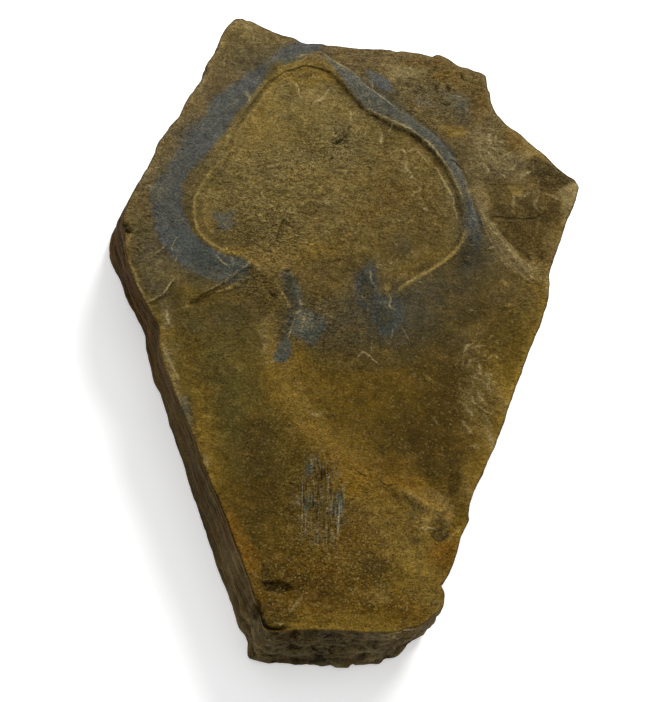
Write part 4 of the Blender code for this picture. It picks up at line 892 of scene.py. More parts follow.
        (240, 268, 14, 7, 0, .25), (172, 190, 14, 20, 0, .25), (145, 272, 12, 9, 0, .22), (405, 250, 22, 10, 0, .30),
        (350, 540, 18, 14, 0, .16), (380, 150, 16, 14, 0, .26), (400, 190, 18, 16, 0, .16), (430, 215, 14, 16, 0, .22),
        (380, 225, 18, 12, 0, .22), (385, 108, 10, 8, -30, .22), (465, 195, 6, 18, -22, .30), (330, 270, 22, 10, 0, .26),
        (450, 75, 14, 8, 0, .18), (260, 450, 14, 20, 10, .30), (376, 570, 11, 8, 0, .22), (367, 290, 9, 15, 0, .30),
        (470, 255, 12, 18, 0, .35), (460, 300, 24, 14, 0, .20), (460, 335, 16, 12, 0, .18), (385, 318, 12, 14, 0, .20),
        (450, 75, 14, 9, 0, .25), (250, 60, 16, 11, 30, .22), (465, 195, 6, 18, -22, .30), (470, 255, 12, 16, 0, .34),
        (330, 270, 20, 9, 0, .18), (345, 58, 18, 8, 0, .18), (560, 225, 5, 8, 0, .25),
        (248, 60, 14, 9, 30, .20), (480, 100, 12, 14, 0, .14), (300, 585, 18, 8, 0, .18), (215, 293, 14, 6, 0, .20),
    ],
    "lift": [
        (200, 105, 8, 16, 38, .45), (250, 85, 16, 8, 40, .35), (258, 115, 5, 16, -38, .45), (315, 250, 16, 6, 0, .35),
        (272, 262, 22, 10, -20, .50), (240, 395, 14, 26, 15, .50), (268, 340, 7, 22, 0, .50), (298, 350, 8, 18, 0, .45),
        (303, 328, 12, 8, 0, .40), (440, 534, 8, 4, 0, .70), (490, 440, 6, 14, 22, .45), (571, 195, 6, 12, -12, .55),
        (485, 205, 7, 14, -30, .40), (350, 85, 14, 5, 35, .50), (362, 58, 36, 8, 3, .50), (425, 85, 14, 8, 0, .50),
        (234, 525, 6, 14, 22, .45), (420, 575, 14, 12, 0, .55), (175, 270, 14, 9, 0, .45), (150, 240, 12, 9, 0, .35),
        (180, 320, 14, 8, 0, .35), (220, 350, 16, 12, 0, .40), (145, 262, 14, 8, 30, .20), (508, 258, 16, 7, -42, .45),
        (530, 272, 14, 5, -40, .45), (300, 66, 26, 5, 0, .45), (290, 250, 26, 14, 0, .28), (428, 506, 26, 7, -35, .45),
        (360, 470, 30, 9, -25, .30), (410, 550, 24, 16, 0, .30), (378, 597, 16, 8, 0, .35), (525, 150, 12, 7, 0, .50),
        (248, 556, 7, 14, 22, .40), (320, 548, 24, 14, 0, .35), (350, 400, 34, 18, 0, .25), (180, 375, 12, 20, 15, .25),
        (468, 475, 6, 14, 15, .40), (285, 60, 16, 5, -10, .25), (540, 245, 10, 14, 0, .20), (220, 475, 7, 18, 20, .30),
        (125, 235, 6, 8, 0, .22), (490, 440, 7, 14, 22, .30), (470, 476, 6, 14, 18, .25), (540, 232, 12, 10, 0, .30),
        (425, 598, 14, 10, 0, .35), (382, 58, 16, 6, 0, .20), (410, 550, 18, 12, 0, .18),
        (505, 400, 6, 16, 15, .25), (272, 262, 20, 9, -10, .35), (380, 58, 18, 6, 0, .25), (340, 618, 24, 6, 0, .35),
        (420, 575, 12, 10, 0, .22), (175, 340, 7, 14, 12, .25), (400, 420, 18, 16, 0, .22), (355, 488, 12, 10, 0, .45),
        (425, 500, 26, 9, -32, .35), (300, 66, 26, 6, 0, .30), (295, 255, 30, 12, 0, .30), (303, 326, 10, 10, 0, .18),
        (268, 340, 6, 16, 0, .22), (232, 585, 5, 14, 18, .25), (420, 515, 30, 8, -34, .25),
    ],
    "cool": [
        (150, 262, 30, 32, 0, .90), (250, 85, 22, 11, 40, .45), (200, 145, 24, 24, 45, .50), (303, 328, 20, 13, 0, .80),
        (367, 288, 16, 20, 0, .70), (385, 318, 22, 18, 0, .80), (415, 308, 50, 20, 0, .60), (170, 298, 30, 14, 0, .75),
        (200, 318, 50, 14, 10, .65), (158, 232, 24, 16, 0, .60), (225, 350, 24, 24, 0, .45), (235, 395, 16, 30, 15, .25),
        (168, 215, 20, 20, 0, .35), (472, 225, 14, 26, -20, .60), (268, 340, 8, 22, 0, .45), (450, 285, 40, 18, 0, .55),
        (505, 258, 20, 9, -42, .70), (222, 262, 34, 16, -12, .50), (225, 222, 18, 13, -25, .42), (305, 48, 26, 6, 15, .65),
        (350, 330, 44, 18, 0, .60), (382, 84, 16, 8, -30, .60), (225, 110, 16, 16, 45, .35), (340, 138, 14, 16, 0, .40),
        (215, 190, 16, 30, 0, .35), (175, 340, 8, 16, 10, .40), (250, 60, 20, 16, 30, .30), (390, 255, 20, 14, 0, .40),
        (400, 345, 40, 14, 0, .40), (292, 290, 10, 14, 0, .35), (250, 300, 40, 14, 0, .35), (400, 72, 14, 6, 0, .35),
        (240, 120, 6, 20, -35, .40),
        (530, 320, 16, 20, 0, .35), (400, 360, 30, 12, 0, .35), (185, 380, 8, 18, 18, .45), (228, 222, 12, 11, 0, .45),
        (490, 440, 7, 16, 22, .30), (380, 58, 20, 7, 0, .40), (340, 618, 22, 6, 0, .40), (410, 550, 20, 14, 0, .30),
        (172, 190, 14, 18, 0, .40), (240, 268, 12, 8, 0, .45), (228, 222, 12, 11, 0, .50), (145, 270, 16, 16, 0, .55),
        (162, 286, 18, 9, 0, .40), (190, 262, 34, 20, 0, .40), (175, 340, 7, 16, 12, .35), (185, 380, 8, 18, 18, .60),
        (303, 328, 14, 12, 0, .50), (282, 352, 10, 11, 0, .45), (268, 340, 7, 16, 0, .30), (440, 605, 12, 10, 0, .25),
        (367, 290, 12, 17, 0, .40), (400, 330, 40, 22, 0, .40), (400, 360, 34, 12, 0, .35), (384, 84, 12, 9, -30, .45),
        (308, 47, 16, 6, 0, .45), (495, 240, 12, 15, -40, .50), (470, 255, 10, 16, 0, .35),
    ],
    "warm": [
        (388, 186, 40, 26, 0, .55), (350, 542, 34, 20, 0, .65), (443, 553, 13, 13, 0, .90), (450, 76, 20, 10, 0, .90),
        (405, 612, 18, 10, 0, .75), (376, 570, 16, 10, 0, .80), (234, 525, 7, 16, 22, .75), (428, 505, 26, 8, -35, .80),
        (315, 250, 18, 8, 0, .60), (520, 222, 30, 22, 0, .55), (405, 485, 20, 7, -8, .75), (545, 178, 22, 10, -20, .35),
        (300, 352, 8, 18, 0, .25), (275, 605, 24, 14, 0, .50), (355, 490, 20, 16, 0, .75), (300, 590, 34, 14, 0, .60),
        (300, 66, 26, 6, 0, .55), (290, 250, 26, 14, 0, .35), (320, 515, 30, 40, 0, .55), (270, 500, 24, 26, 0, .50),
        (480, 100, 16, 20, 0, .60), (560, 222, 5, 14, 10, .50), (350, 600, 70, 24, 0, .30), (405, 135, 30, 8, -38, .35),
        (440, 470, 20, 20, 0, .30), (375, 225, 40, 26, 0, .35), (430, 160, 10, 20, -40, .35),
        (300, 560, 50, 22, 0, .40), (500, 300, 20, 14, 0, .30),
        (350, 540, 20, 14, 0, .25), (400, 190, 24, 18, 0, .45), (430, 215, 16, 16, 0, .35), (380, 150, 18, 14, 0, .20),
        (450, 75, 16, 9, 0, .75), (480, 100, 12, 14, 0, .60), (400, 190, 24, 18, 0, .35), (405, 612, 16, 8, 0, .45),
        (376, 570, 11, 8, 0, .40), (300, 585, 20, 9, 0, .35), (320, 500, 24, 30, 0, .35), (270, 500, 20, 16, 0, .35), (353, 488, 16, 12, 0, .60),
        (420, 512, 30, 10, -34, .50), (300, 66, 26, 6, 0, .40), (292, 254, 32, 14, 0, .25), (376, 570, 11, 8, 0, .35),
        (443, 553, 12, 12, 0, .60), (300, 585, 20, 10, 0, .30),
    ],
    # paler, mauve-brown stone
    "mauve": [
        (345, 55, 50, 9, 3, .80), (410, 62, 44, 10, 0, .60), (380, 66, 26, 12, 0, .4), (188, 128, 20, 36, 38, .70),
        (150, 188, 20, 26, 38, .65), (285, 36, 22, 8, -20, .45), (465, 70, 26, 9, -15, .55), (228, 78, 30, 26, 40, .70),
        (500, 150, 40, 26, -35, .45), (430, 330, 40, 20, 0, .20), (455, 360, 34, 26, 0, .25), (425, 88, 26, 12, 0, .4),
        (480, 400, 24, 40, 10, .30), (206, 100, 14, 30, 40, .55), (530, 290, 20, 20, 0, .3), (455, 125, 24, 12, 20, .35),
        (530, 205, 24, 12, 0, .35), (540, 232, 16, 16, 0, .35), (140, 205, 16, 16, 0, .3),
    ],
}
# How strongly the surface is crinkled, more or less than half: x, y, rx, ry, by.
CRUMPLED = [
    (262, 240, 44, 40, .45), (300, 215, 60, 50, .35), (338, 145, 34, 24, .60), (280, 165, 50, 22, .35),
    (372, 110, 30, 14, .25), (230, 200, 30, 40, .20), (150, 225, 26, 24, .20), (250, 285, 40, 16, .45),
    (300, 315, 34, 40, .45), (440, 95, 44, 30, .40), (492, 155, 26, 30, .25), (530, 215, 36, 40, -.24),
    (305, 500, 30, 50, .35), (478, 385, 20, 50, .30), (540, 275, 16, 26, .45), (335, 330, 30, 40, .25),
    (400, 190, 50, 40, .15), (345, 520, 40, 40, .15), (330, 600, 80, 40, .10), (385, 60, 60, 16, .20),
    (440, 330, 60, 46, -.30), (425, 420, 62, 56, -.36), (245, 430, 40, 60, -.24), (200, 300, 46, 26, -.10), (552, 178, 24, 14, -.2),
    (200, 220, 26, 50, -.15), (480, 275, 40, 26, -.30), (230, 90, 40, 30, -.15), (265, 500, 40, 30, -.15),
    (415, 255, 34, 26, -.20), (350, 390, 40, 40, -.10), (180, 250, 30, 20, -.15),
]
STREAKS = {   # stain: [(line by pixel with half width in mm and strength), ...]
    "blue": [
        path((300, 50, 1.1, .3), (272, 70, 1.8, .5), (248, 92, 2.2, .7), (224, 115, 2.5, .8),
             (203, 138, 2.8, .9), (186, 165, 3.0, .9), (175, 192, 3.2, .9), (173, 218, 3.2, .8),
             (190, 243, 3.0, .75), (222, 262, 2.6, .75), (243, 272, 1.6, .5)),
        path((335, 66, 1.0, .5), (350, 76, 1.5, .8), (366, 92, 1.8, .9), (384, 106, 1.9, .95),
             (402, 119, 1.5, .9), (420, 131, 1.2, .8), (438, 148, 1.1, .75), (452, 170, 1.1, .7),
             (462, 195, 1.1, .65), (469, 222, 1.3, .6), (471, 250, 1.5, .55)),
    ],
    "tan": [
        path((474, 192, 1.1, .5), (482, 208, 1.4, .7), (491, 226, 1.6, .75), (500, 240, 1.6, .7),
             (512, 253, 1.5, .65), (526, 266, 1.3, .6), (541, 280, 1.1, .5)),
    ],
    "gold": [
        path((275, 340, 1.6, .2), (275, 372, 2.2, .5), (290, 402, 3.0, .55), (318, 432, 3.4, .6),
             (350, 462, 3.4, .6), (385, 492, 3.6, .5), (405, 530, 4.5, .45), (415, 570, 5.0, .5)),
        path((546, 292, .9, .6), (536, 335, 1.0, .6), (517, 385, 1.2, .8), (501, 427, 1.0, .7),
             (486, 464, .8, .5), (474, 500, .6, .4)),
        path((262, 627, .8, .3), (300, 627, 1.0, .8), (350, 629, 1.0, .8), (396, 629, .9, .6)),
    ],
    "rust": [
        path((229, 515, .5, .4), (238, 535, .9, .9), (248, 556, .9, .9), (256, 575, .9, .8),
             (262, 592, .6, .4)),
    ],
    "dark": [
        path((264, 320, .4, .3), (262, 350, .5, .3), (268, 380, .5, .3)),
    ],
}

# Patches with a definite outline: stain: [(strength, soft edge in mm, outline by
# pixel), ...]. They are laid over the spots, after the CUTS are taken out of them.
AREAS = {
    "blue": [
        (.60, 1.0, [(264, 68), (264, 78), (256, 90), (248, 102), (238, 112), (231, 122), (226, 132), (216, 142),
                    (206, 154), (198, 162), (188, 172), (183, 184), (181, 200), (183, 212), (188, 227), (196, 237),
                    (208, 247), (224, 255), (240, 259), (249, 265), (243, 272), (232, 277), (220, 282), (200, 276),
                    (180, 264), (162, 245), (152, 212), (152, 188), (166, 175), (171, 163), (188, 148), (192, 138),
                    (206, 122), (208, 106), (220, 94), (236, 82), (252, 72)]),
        (.72, .40, [(321, 52), (340, 66), (351, 72), (358, 80), (363, 85), (374, 91), (386, 99), (399, 110),
                    (406, 116), (420, 127), (439, 138), (454, 153), (459, 167), (465, 180), (471, 193), (475, 207),
                    (481, 217), (484, 235), (478, 250), (469, 237), (467, 225), (466, 210), (463, 197), (459, 183),
                    (451, 170), (441, 158), (429, 147), (416, 135), (403, 127), (388, 119), (374, 113), (363, 107),
                    (353, 95), (340, 78), (330, 66)]),
        (.90, .35, [(366, 70), (376, 72), (386, 79), (392, 86), (392, 91), (384, 90), (376, 83), (368, 76)]),
        (.45, .50, [(412, 98), (422, 96), (433, 100), (431, 107), (419, 107)]),
        (.30, .50, [(454, 95), (463, 92), (471, 99), (470, 113), (466, 125), (458, 124), (453, 112)]),
        (.12, .80, [(150, 252), (180, 258), (215, 266), (243, 279), (238, 288), (205, 288), (180, 280), (158, 276)]),
        (.55, .70, [(258, 74), (268, 58), (284, 46), (300, 39), (316, 42), (322, 50), (306, 54), (290, 57), (276, 64),
                    (266, 76)]),
        (.70, .40, [(366, 298), (384, 296), (388, 312), (372, 312)]),
        (.96, .35, [(294, 312), (302, 308), (314, 314), (323, 320), (325, 328), (319, 337), (314, 345),
                    (308, 342), (300, 336), (293, 330), (291, 322)]),
        (.78, .40, [(283, 338), (290, 339), (291, 350), (289, 358), (284, 362), (276, 363), (273, 358), (277, 351),
                    (280, 344)]),
        (.30, .45, [(288, 304), (297, 306), (296, 318), (290, 332), (284, 344), (281, 340), (287, 318)]),
        (.80, .35, [(361, 278), (370, 272), (376, 280), (377, 292), (376, 302), (368, 308), (360, 304),
                    (357, 294), (357, 284)]),
        (.90, .35, [(377, 303), (386, 303), (394, 307), (399, 314), (398, 322), (394, 330), (388, 336), (382, 336),
                    (379, 329), (375, 320), (373, 310)]),
        (.60, .45, [(281, 271), (291, 270), (294, 280), (298, 288), (302, 298), (303, 306), (298, 312),
                    (292, 304), (287, 296), (283, 285)]),
        (.70, .40, [(230, 257), (243, 257), (250, 264), (243, 272), (235, 278), (230, 283)]),
        (.62, .80, [(213, 212), (219, 209), (224, 213), (229, 208), (236, 211), (233, 217), (238, 223), (232, 227),
                    (229, 234), (223, 229), (216, 232), (218, 223), (212, 219)]),
        (.40, .50, [(305, 464), (312, 466), (311, 476), (304, 474)]),
        (.62, .30, [(303, 500), (311, 501), (310, 510), (302, 508)]),
        (.48, .45, [(336, 494), (343, 497), (342, 512), (336, 514)]),
        (.35, .50, [(336, 515), (349, 517), (347, 526), (337, 525)]),
        (.35, .40, [(182, 398), (188, 396), (192, 410), (194, 424), (189, 424), (184, 410)]),
        (.25, .30, [(429, 530), (443, 528), (449, 534), (445, 542), (439, 542), (431, 535)]),
    ],
    "slate": [
        (.22, 1.6, [(296, 296), (330, 300), (360, 290), (400, 296), (440, 300), (436, 336), (400, 346), (350, 346),
                    (310, 352), (290, 340)]),
        (.90, .35, [(462, 242), (470, 242), (473, 254), (470, 265), (463, 264), (460, 253)]),
        (.40, .60, [(470, 224), (480, 222), (490, 236), (497, 252), (494, 268), (482, 271), (472, 262), (469, 243)]),
        (.35, .40, [(361, 281), (367, 277), (372, 288), (372, 302), (364, 304), (360, 294)]),
        (.62, .50, [(284, 274), (290, 273), (295, 290), (299, 304), (296, 316), (290, 330), (283, 342), (279, 340),
                    (285, 326), (289, 310), (286, 292)]),
        (.35, .40, [(376, 306), (384, 306), (388, 318), (384, 330), (378, 326)]),
        (.35, .60, [(394, 233), (404, 232), (410, 244), (408, 257), (398, 258), (392, 246)]),
    ],
    "dark": [
        (.97, .30, [(532, 157), (545, 163), (562, 173), (577, 182), (560, 188), (552, 194), (543, 193), (533, 188)]),
        (.45, .50, [(264, 602), (276, 600), (290, 606), (290, 620), (276, 624), (266, 618)]),
        (.55, .40, [(489, 185), (509, 182), (533, 192), (559, 195), (563, 212), (559, 225), (543, 237),
                    (546, 258), (529, 262), (513, 250), (501, 235), (491, 220), (489, 203)]),
        (.50, .50, [(412, 121), (424, 120), (433, 129), (430, 136), (420, 134)]),
        (.50, .60, [(278, 308), (290, 309), (293, 318), (292, 330), (284, 338), (277, 332), (275, 320)]),
        (.40, 1.5, [(224, 484), (250, 480), (290, 486), (301, 500), (298, 520), (270, 527), (240, 524), (226, 505)]),
        (.45, .90, [(247, 416), (258, 416), (265, 430), (262, 452), (254, 470), (244, 470), (241, 450), (243, 430)]),
        (.99, .25, [(262, 577), (270, 580), (285, 582), (294, 585), (289, 590), (273, 591), (265, 586)]),
        (.70, .50, [(364, 562), (374, 559), (385, 563), (386, 572), (376, 577), (365, 573)]),
        (.50, 1.5, [(414, 442), (440, 438), (461, 446), (460, 466), (446, 478), (424, 476), (413, 460)]),
        (.55, .90, [(448, 470), (459, 472), (462, 488), (457, 500), (450, 498)]),
        (.60, .35, [(378, 488), (386, 489), (394, 490), (397, 493), (388, 493), (379, 491)]),
    ],
    "rust": [
        (.70, .45, [(505, 131), (515, 130), (522, 140), (518, 152), (508, 150)]),
        (.55, .50, [(462, 86), (476, 84), (487, 94), (485, 110), (474, 116), (464, 106)]),
        (.45, .50, [(407, 57), (440, 55), (470, 55), (486, 60), (480, 67), (450, 66), (410, 67)]),
        (.99, .30, [(229, 510), (233, 514), (241, 526), (251, 542), (260, 560), (261, 572), (259, 582),
                    (253, 578), (245, 566), (239, 554), (231, 530)]),
        (.40, 1.1, [(284, 568), (310, 565), (340, 570), (341, 590), (320, 600), (290, 597), (281, 584)]),
        (.99, .30, [(431, 546), (441, 542), (457, 544), (455, 556), (449, 564), (441, 564), (433, 556)]),
        (.50, .80, [(368, 458), (390, 455), (411, 458), (409, 468), (388, 471), (368, 468)]),
    ],
    "gold": [
        (.75, .35, [(440, 127), (452, 124), (466, 129), (463, 137), (448, 137)]),
        (.50, .45, [(435, 70), (450, 67), (462, 73), (460, 83), (447, 86), (436, 80)]),
        (.85, .30, [(510, 187), (518, 184), (524, 190), (521, 197), (512, 196)]),
        (.80, .35, [(293, 338), (302, 336), (305, 344), (300, 351), (293, 349)]),
        (.75, .35, [(225, 247), (238, 245), (249, 249), (246, 255), (230, 254)]),
        (.60, .50, [(298, 606), (312, 603), (322, 609), (318, 620), (303, 620)]),
        (.60, .60, [(318, 618), (350, 616), (390, 617), (401, 622), (396, 632), (350, 632), (322, 630)]),
        (.40, .80, [(271, 368), (288, 365), (297, 385), (296, 408), (284, 411), (273, 392)]),
        (.95, .30, [(397, 480), (412, 478), (427, 481), (425, 487), (405, 487)]),
        (.90, .70, [(334, 478), (348, 473), (361, 480), (360, 494), (346, 499), (335, 492)]),
        (.70, .40, [(192, 390), (201, 392), (207, 420), (210, 445), (203, 446), (196, 420)]),
        (.60, .40, [(203, 450), (213, 452), (221, 488), (213, 490), (206, 470)]),
        (.80, .35, [(497, 402), (506, 404), (502, 425), (495, 437), (491, 430)]),
        (.80, .35, [(482, 438), (490, 440), (484, 462), (476, 475), (472, 468)]),
    ],
    "pale": [
        (.92, .28, [(560, 190), (573, 182), (578, 184), (577, 194), (572, 206), (566, 214), (561, 211),
                    (562, 200)]),
        (.35, .45, [(364, 595), (372, 587), (386, 586), (395, 594), (391, 603), (376, 607), (366, 603)]),
        (.40, .40, [(444, 174), (450, 173), (457, 190), (462, 210), (456, 213), (449, 198)]),
        (.70, .25, [(204, 454), (208, 455), (210, 466), (206, 466)]),
        (.60, .25, [(233, 562), (237, 564), (241, 580), (237, 580)]),
        (.30, .50, [(393, 68), (408, 65), (423, 70), (420, 79), (404, 80)]),
    ],
    "tan": [
        (.50, .70, [(258, 318), (262, 350), (270, 380), (284, 405), (305, 436), (335, 466), (362, 486), (380, 478),
                    (352, 448), (326, 420), (306, 395), (293, 368), (282, 345), (274, 318)]),
        (.75, .40, [(517, 142), (530, 137), (545, 143), (546, 155), (532, 159), (519, 153)]),
        (.45, .35, [(474, 190), (489, 192), (493, 213), (501, 235), (513, 248), (529, 260), (549, 265),
                    (549, 287), (536, 283), (513, 273), (496, 253), (488, 233), (481, 217)]),
        (.85, .25, [(381, 480), (389, 477), (395, 483), (391, 488), (382, 487)]),
        (.50, .80, [(403, 538), (420, 535), (433, 545), (431, 562), (416, 567), (403, 558)]),
        (.75, .35, [(396, 489), (412, 484), (432, 488), (450, 500), (454, 516), (450, 524), (438, 514), (420, 502),
                    (404, 493)]),
        (.45, 1.0, [(336, 474), (362, 470), (384, 488), (394, 500), (404, 530), (392, 546), (366, 530), (348, 500)]),
        (.55, .70, [(250, 244), (268, 241), (286, 246), (290, 258), (276, 270), (258, 269), (248, 258)]),
    ],
    "straw": [
        (.75, .50, [(262, 86), (275, 71), (292, 62), (312, 60), (328, 66), (338, 79), (330, 80), (316, 69), (298, 69),
                    (281, 77), (269, 91)]),
    ],
    "mauve": [
        (.70, .45, [(324, 48), (345, 45), (364, 52), (362, 66), (350, 70), (334, 62)]),
        (.60, .45, [(393, 68), (408, 65), (423, 70), (420, 79), (404, 80)]),
        (.60, .50, [(475, 130), (490, 127), (505, 150), (513, 165), (508, 180), (490, 180), (478, 160)]),
    ],
    "grey": [
        (.45, 1.2, [(316, 342), (400, 340), (412, 366), (330, 370)]),
        (.55, .50, [(474, 190), (489, 192), (493, 213), (501, 235), (513, 248), (529, 260), (540, 276),
                    (524, 276), (513, 273), (496, 253), (488, 233), (481, 217)]),
        (.75, .35, [(393, 489), (400, 488), (425, 503), (452, 521), (449, 530), (440, 527), (412, 509), (395, 497)]),
        (.45, .50, [(381, 90), (394, 88), (406, 100), (405, 110), (393, 108), (383, 99)]),
        (.50, 1.0, [(298, 322), (330, 318), (376, 326), (374, 348), (340, 355), (300, 350)]),
        (.50, 1.6, [(296, 296), (330, 300), (360, 290), (400, 296), (440, 300), (436, 336), (400, 346), (350, 346),
                    (310, 352), (290, 340)]),
        (.60, .90, [(128, 238), (146, 240), (172, 250), (215, 264), (246, 280), (240, 291), (205, 292), (182, 286),
                    (160, 300), (146, 284)]),
        (.40, 1.2, [(160, 300), (200, 302), (262, 300), (266, 322), (200, 330), (168, 322)]),
        (.30, .50, [(475, 130), (490, 127), (505, 150), (513, 165), (508, 180), (490, 180), (478, 160)]),
    ],
    "olive": [
        (.60, .35, [(429, 530), (443, 528), (449, 534), (445, 542), (439, 542), (431, 535)]),
        (.50, .50, [(381, 90), (394, 88), (406, 100), (405, 110), (393, 108), (383, 99)]),
        (.45, .90, [(202, 170), (225, 167), (236, 185), (234, 208), (215, 212), (202, 195)]),
        (.50, .70, [(238, 226), (260, 223), (280, 232), (278, 243), (255, 245), (240, 240)]),
        (.60, .50, [(444, 252), (456, 249), (463, 262), (458, 271), (446, 268)]),
        (.40, .35, [(393, 489), (400, 488), (425, 503), (452, 521), (449, 530), (440, 527), (412, 509), (395, 497)]),
    ],
    "dim": [
        (.42, .30, [(532, 157), (545, 163), (562, 173), (577, 182), (560, 188), (552, 194), (543, 193), (533, 188)]),
        (.60, .50, [(263, 602), (276, 600), (294, 608), (298, 620), (278, 625), (266, 620)]),
        (.20, .40, [(430, 56), (460, 55), (470, 62), (445, 66), (432, 64)]),
        (.20, .50, [(262, 78), (256, 88), (248, 102), (238, 114), (230, 126), (236, 128), (246, 114), (256, 100),
                    (264, 88)]),
        (.24, .50, [(208, 148), (196, 162), (186, 174), (182, 186), (180, 204), (183, 218), (191, 234), (202, 246),
                    (214, 254), (219, 249), (206, 240), (197, 228), (190, 214), (188, 200), (190, 186), (198, 174),
                    (214, 154)]),
        (.25, .60, [(440, 258), (462, 258), (462, 282), (442, 284)]),
        (.20, .90, [(455, 318), (490, 316), (492, 338), (460, 340)]),
        (.25, 1.0, [(176, 290), (215, 296), (262, 292), (266, 312), (215, 318), (180, 312)]),
        (.14, .60, [(262, 72), (256, 92), (238, 114), (226, 134), (206, 156), (190, 172), (184, 190), (184, 210), (190, 226),
                    (210, 246), (226, 254), (240, 258), (246, 256), (220, 246), (198, 228), (195, 205), (200, 186),
                    (222, 160), (240, 130), (262, 100), (275, 82)]),
        (.25, .40, [(361, 278), (370, 272), (376, 280), (377, 292), (376, 302), (368, 308), (360, 304),
                    (357, 294), (357, 284)]),
        (.25, .40, [(489, 185), (509, 182), (533, 192), (559, 195), (563, 212), (559, 225), (543, 237),
                    (546, 258), (529, 262), (513, 250), (501, 235), (491, 220), (489, 203)]),
        (.80, .25, [(262, 577), (270, 580), (285, 582), (294, 585), (289, 590), (273, 591), (265, 586)]),
        (.40, .35, [(462, 242), (470, 242), (473, 254), (470, 265), (463, 264), (460, 253)]),
        (.30, .70, [(238, 226), (260, 223), (280, 232), (278, 243), (255, 245), (240, 240)]),
    ],
    "lift": [
        (.35, .50, [(226, 24), (236, 18), (252, 24), (246, 34), (238, 40), (226, 36)]),
        (.30, .50, [(440, 512), (462, 518), (464, 534), (450, 534), (442, 524)]),
        (.30, .60, [(522, 262), (540, 258), (540, 276), (526, 278)]),
        (.35, .50, [(446, 96), (462, 96), (464, 110), (450, 112)]),
        (.45, .50, [(216, 130), (226, 132), (230, 140), (222, 148), (214, 144)]),
        (.25, .60, [(512, 154), (526, 152), (532, 162), (520, 170), (508, 164)]),
        (.30, .60, [(318, 180), (342, 178), (344, 198), (326, 204)]),
        (.35, .40, [(294, 312), (304, 308), (314, 316), (312, 334), (302, 340), (294, 338), (296, 324)]),
        (.30, .70, [(356, 486), (384, 492), (400, 520), (394, 556), (372, 548), (360, 520)]),
        (.35, .40, [(412, 506), (430, 514), (450, 530), (440, 532), (424, 526)]),
        (.30, .35, [(431, 546), (441, 542), (457, 544), (455, 556), (449, 564), (441, 564), (433, 556)]),
        (.25, .90, [(304, 174), (330, 172), (334, 200), (318, 210), (302, 200)]),
        (.28, .90, [(258, 208), (284, 206), (294, 226), (284, 242), (264, 240)]),
        (.50, .70, [(500, 366), (518, 366), (514, 396), (502, 400)]),
        (.30, .50, [(468, 425), (480, 425), (478, 444), (468, 444)]),
        (.30, .55, [(258, 318), (262, 350), (270, 380), (284, 405), (305, 436), (335, 466), (362, 486), (376, 482),
                    (350, 458), (322, 432), (302, 408), (287, 382), (275, 350), (269, 318)]),
        (.30, .35, [(562, 190), (573, 183), (577, 186), (575, 196), (570, 206), (564, 206)]),
        (.30, .70, [(252, 246), (268, 243), (284, 247), (288, 257), (276, 268), (258, 267), (250, 257)]),
        (.28, .70, [(250, 112), (262, 100), (276, 104), (276, 128), (262, 136), (250, 130)]),
        (.45, .35, [(396, 489), (412, 484), (432, 488), (450, 500), (454, 516), (450, 524), (438, 514), (420, 502),
                    (404, 493)]),
        (.35, .40, [(396, 494), (408, 497), (428, 512), (448, 526), (440, 528), (420, 522), (404, 510)]),
        (.55, .50, [(262, 88), (275, 71), (292, 61), (312, 58), (328, 64), (338, 79), (330, 82), (316, 73), (298, 73),
                    (281, 80), (269, 93)]),
        (.30, .35, [(474, 190), (489, 192), (493, 213), (501, 235), (513, 248), (529, 260), (549, 265),
                    (549, 287), (536, 283), (513, 273), (496, 253), (488, 233), (481, 217)]),
        (.30, .30, [(229, 510), (233, 514), (241, 526), (251, 542), (260, 560), (261, 572), (259, 582),
                    (253, 578), (245, 566), (239, 554), (231, 530)]),
        (.30, .70, [(334, 478), (348, 473), (361, 480), (360, 494), (346, 499), (335, 492)]),
        (.30, .40, [(217, 214), (226, 211), (234, 218), (233, 228), (224, 232), (217, 226)]),
        (.30, .30, [(381, 480), (389, 477), (395, 483), (391, 488), (382, 487)]),
        (.35, .50, [(393, 68), (408, 65), (423, 70), (420, 79), (404, 80)]),
    ],
    "warm": [
        (.30, .50, [(440, 512), (462, 518), (464, 534), (450, 534), (442, 524)]),
        (.50, .30, [(229, 510), (233, 514), (241, 526), (251, 542), (260, 560), (261, 572), (259, 582),
                    (253, 578), (245, 566), (239, 554), (231, 530)]),
        (.40, .35, [(431, 546), (441, 542), (457, 544), (455, 556), (449, 564), (441, 564), (433, 556)]),
        (.38, 2.4, [(226, 486), (300, 478), (350, 494), (372, 560), (400, 596), (396, 616), (290, 622), (266, 598),
                    (242, 545)]),
        (.50, .40, [(489, 185), (509, 182), (533, 192), (559, 195), (563, 212), (559, 225), (543, 237),
                    (546, 258), (529, 262), (513, 250), (501, 235), (491, 220), (489, 203)]),
        (.45, .60, [(496, 128), (512, 126), (530, 140), (546, 158), (532, 166), (520, 160), (506, 150)]),
        (.55, .40, [(262, 88), (275, 71), (292, 61), (312, 58), (328, 64), (338, 79), (330, 82), (316, 73), (298, 73),
                    (281, 80), (269, 93)]),
        (.75, .30, [(338, 76), (346, 86), (356, 101), (368, 110), (383, 118), (400, 127), (417, 135), (431, 148),
                    (446, 166), (458, 182), (464, 200), (466, 214), (461, 214), (459, 200), (453, 185), (441, 170),
                    (427, 152), (414, 139), (398, 131), (381, 122), (366, 114), (353, 105), (343, 90), (334, 77)]),
        (.25, .90, [(304, 174), (330, 172), (334, 200), (318, 210), (302, 200)]),
        (.25, .90, [(352, 122), (400, 134), (436, 166), (440, 190), (400, 200), (372, 160)]),
        (.30, .80, [(318, 462), (350, 458), (356, 478), (350, 500), (330, 500), (318, 484)]),
        (.60, .30, [(397, 480), (412, 478), (427, 481), (425, 487), (405, 487)]),
        (.60, .70, [(334, 478), (348, 473), (361, 480), (360, 494), (346, 499), (335, 492)]),
    ],
    "cool": [
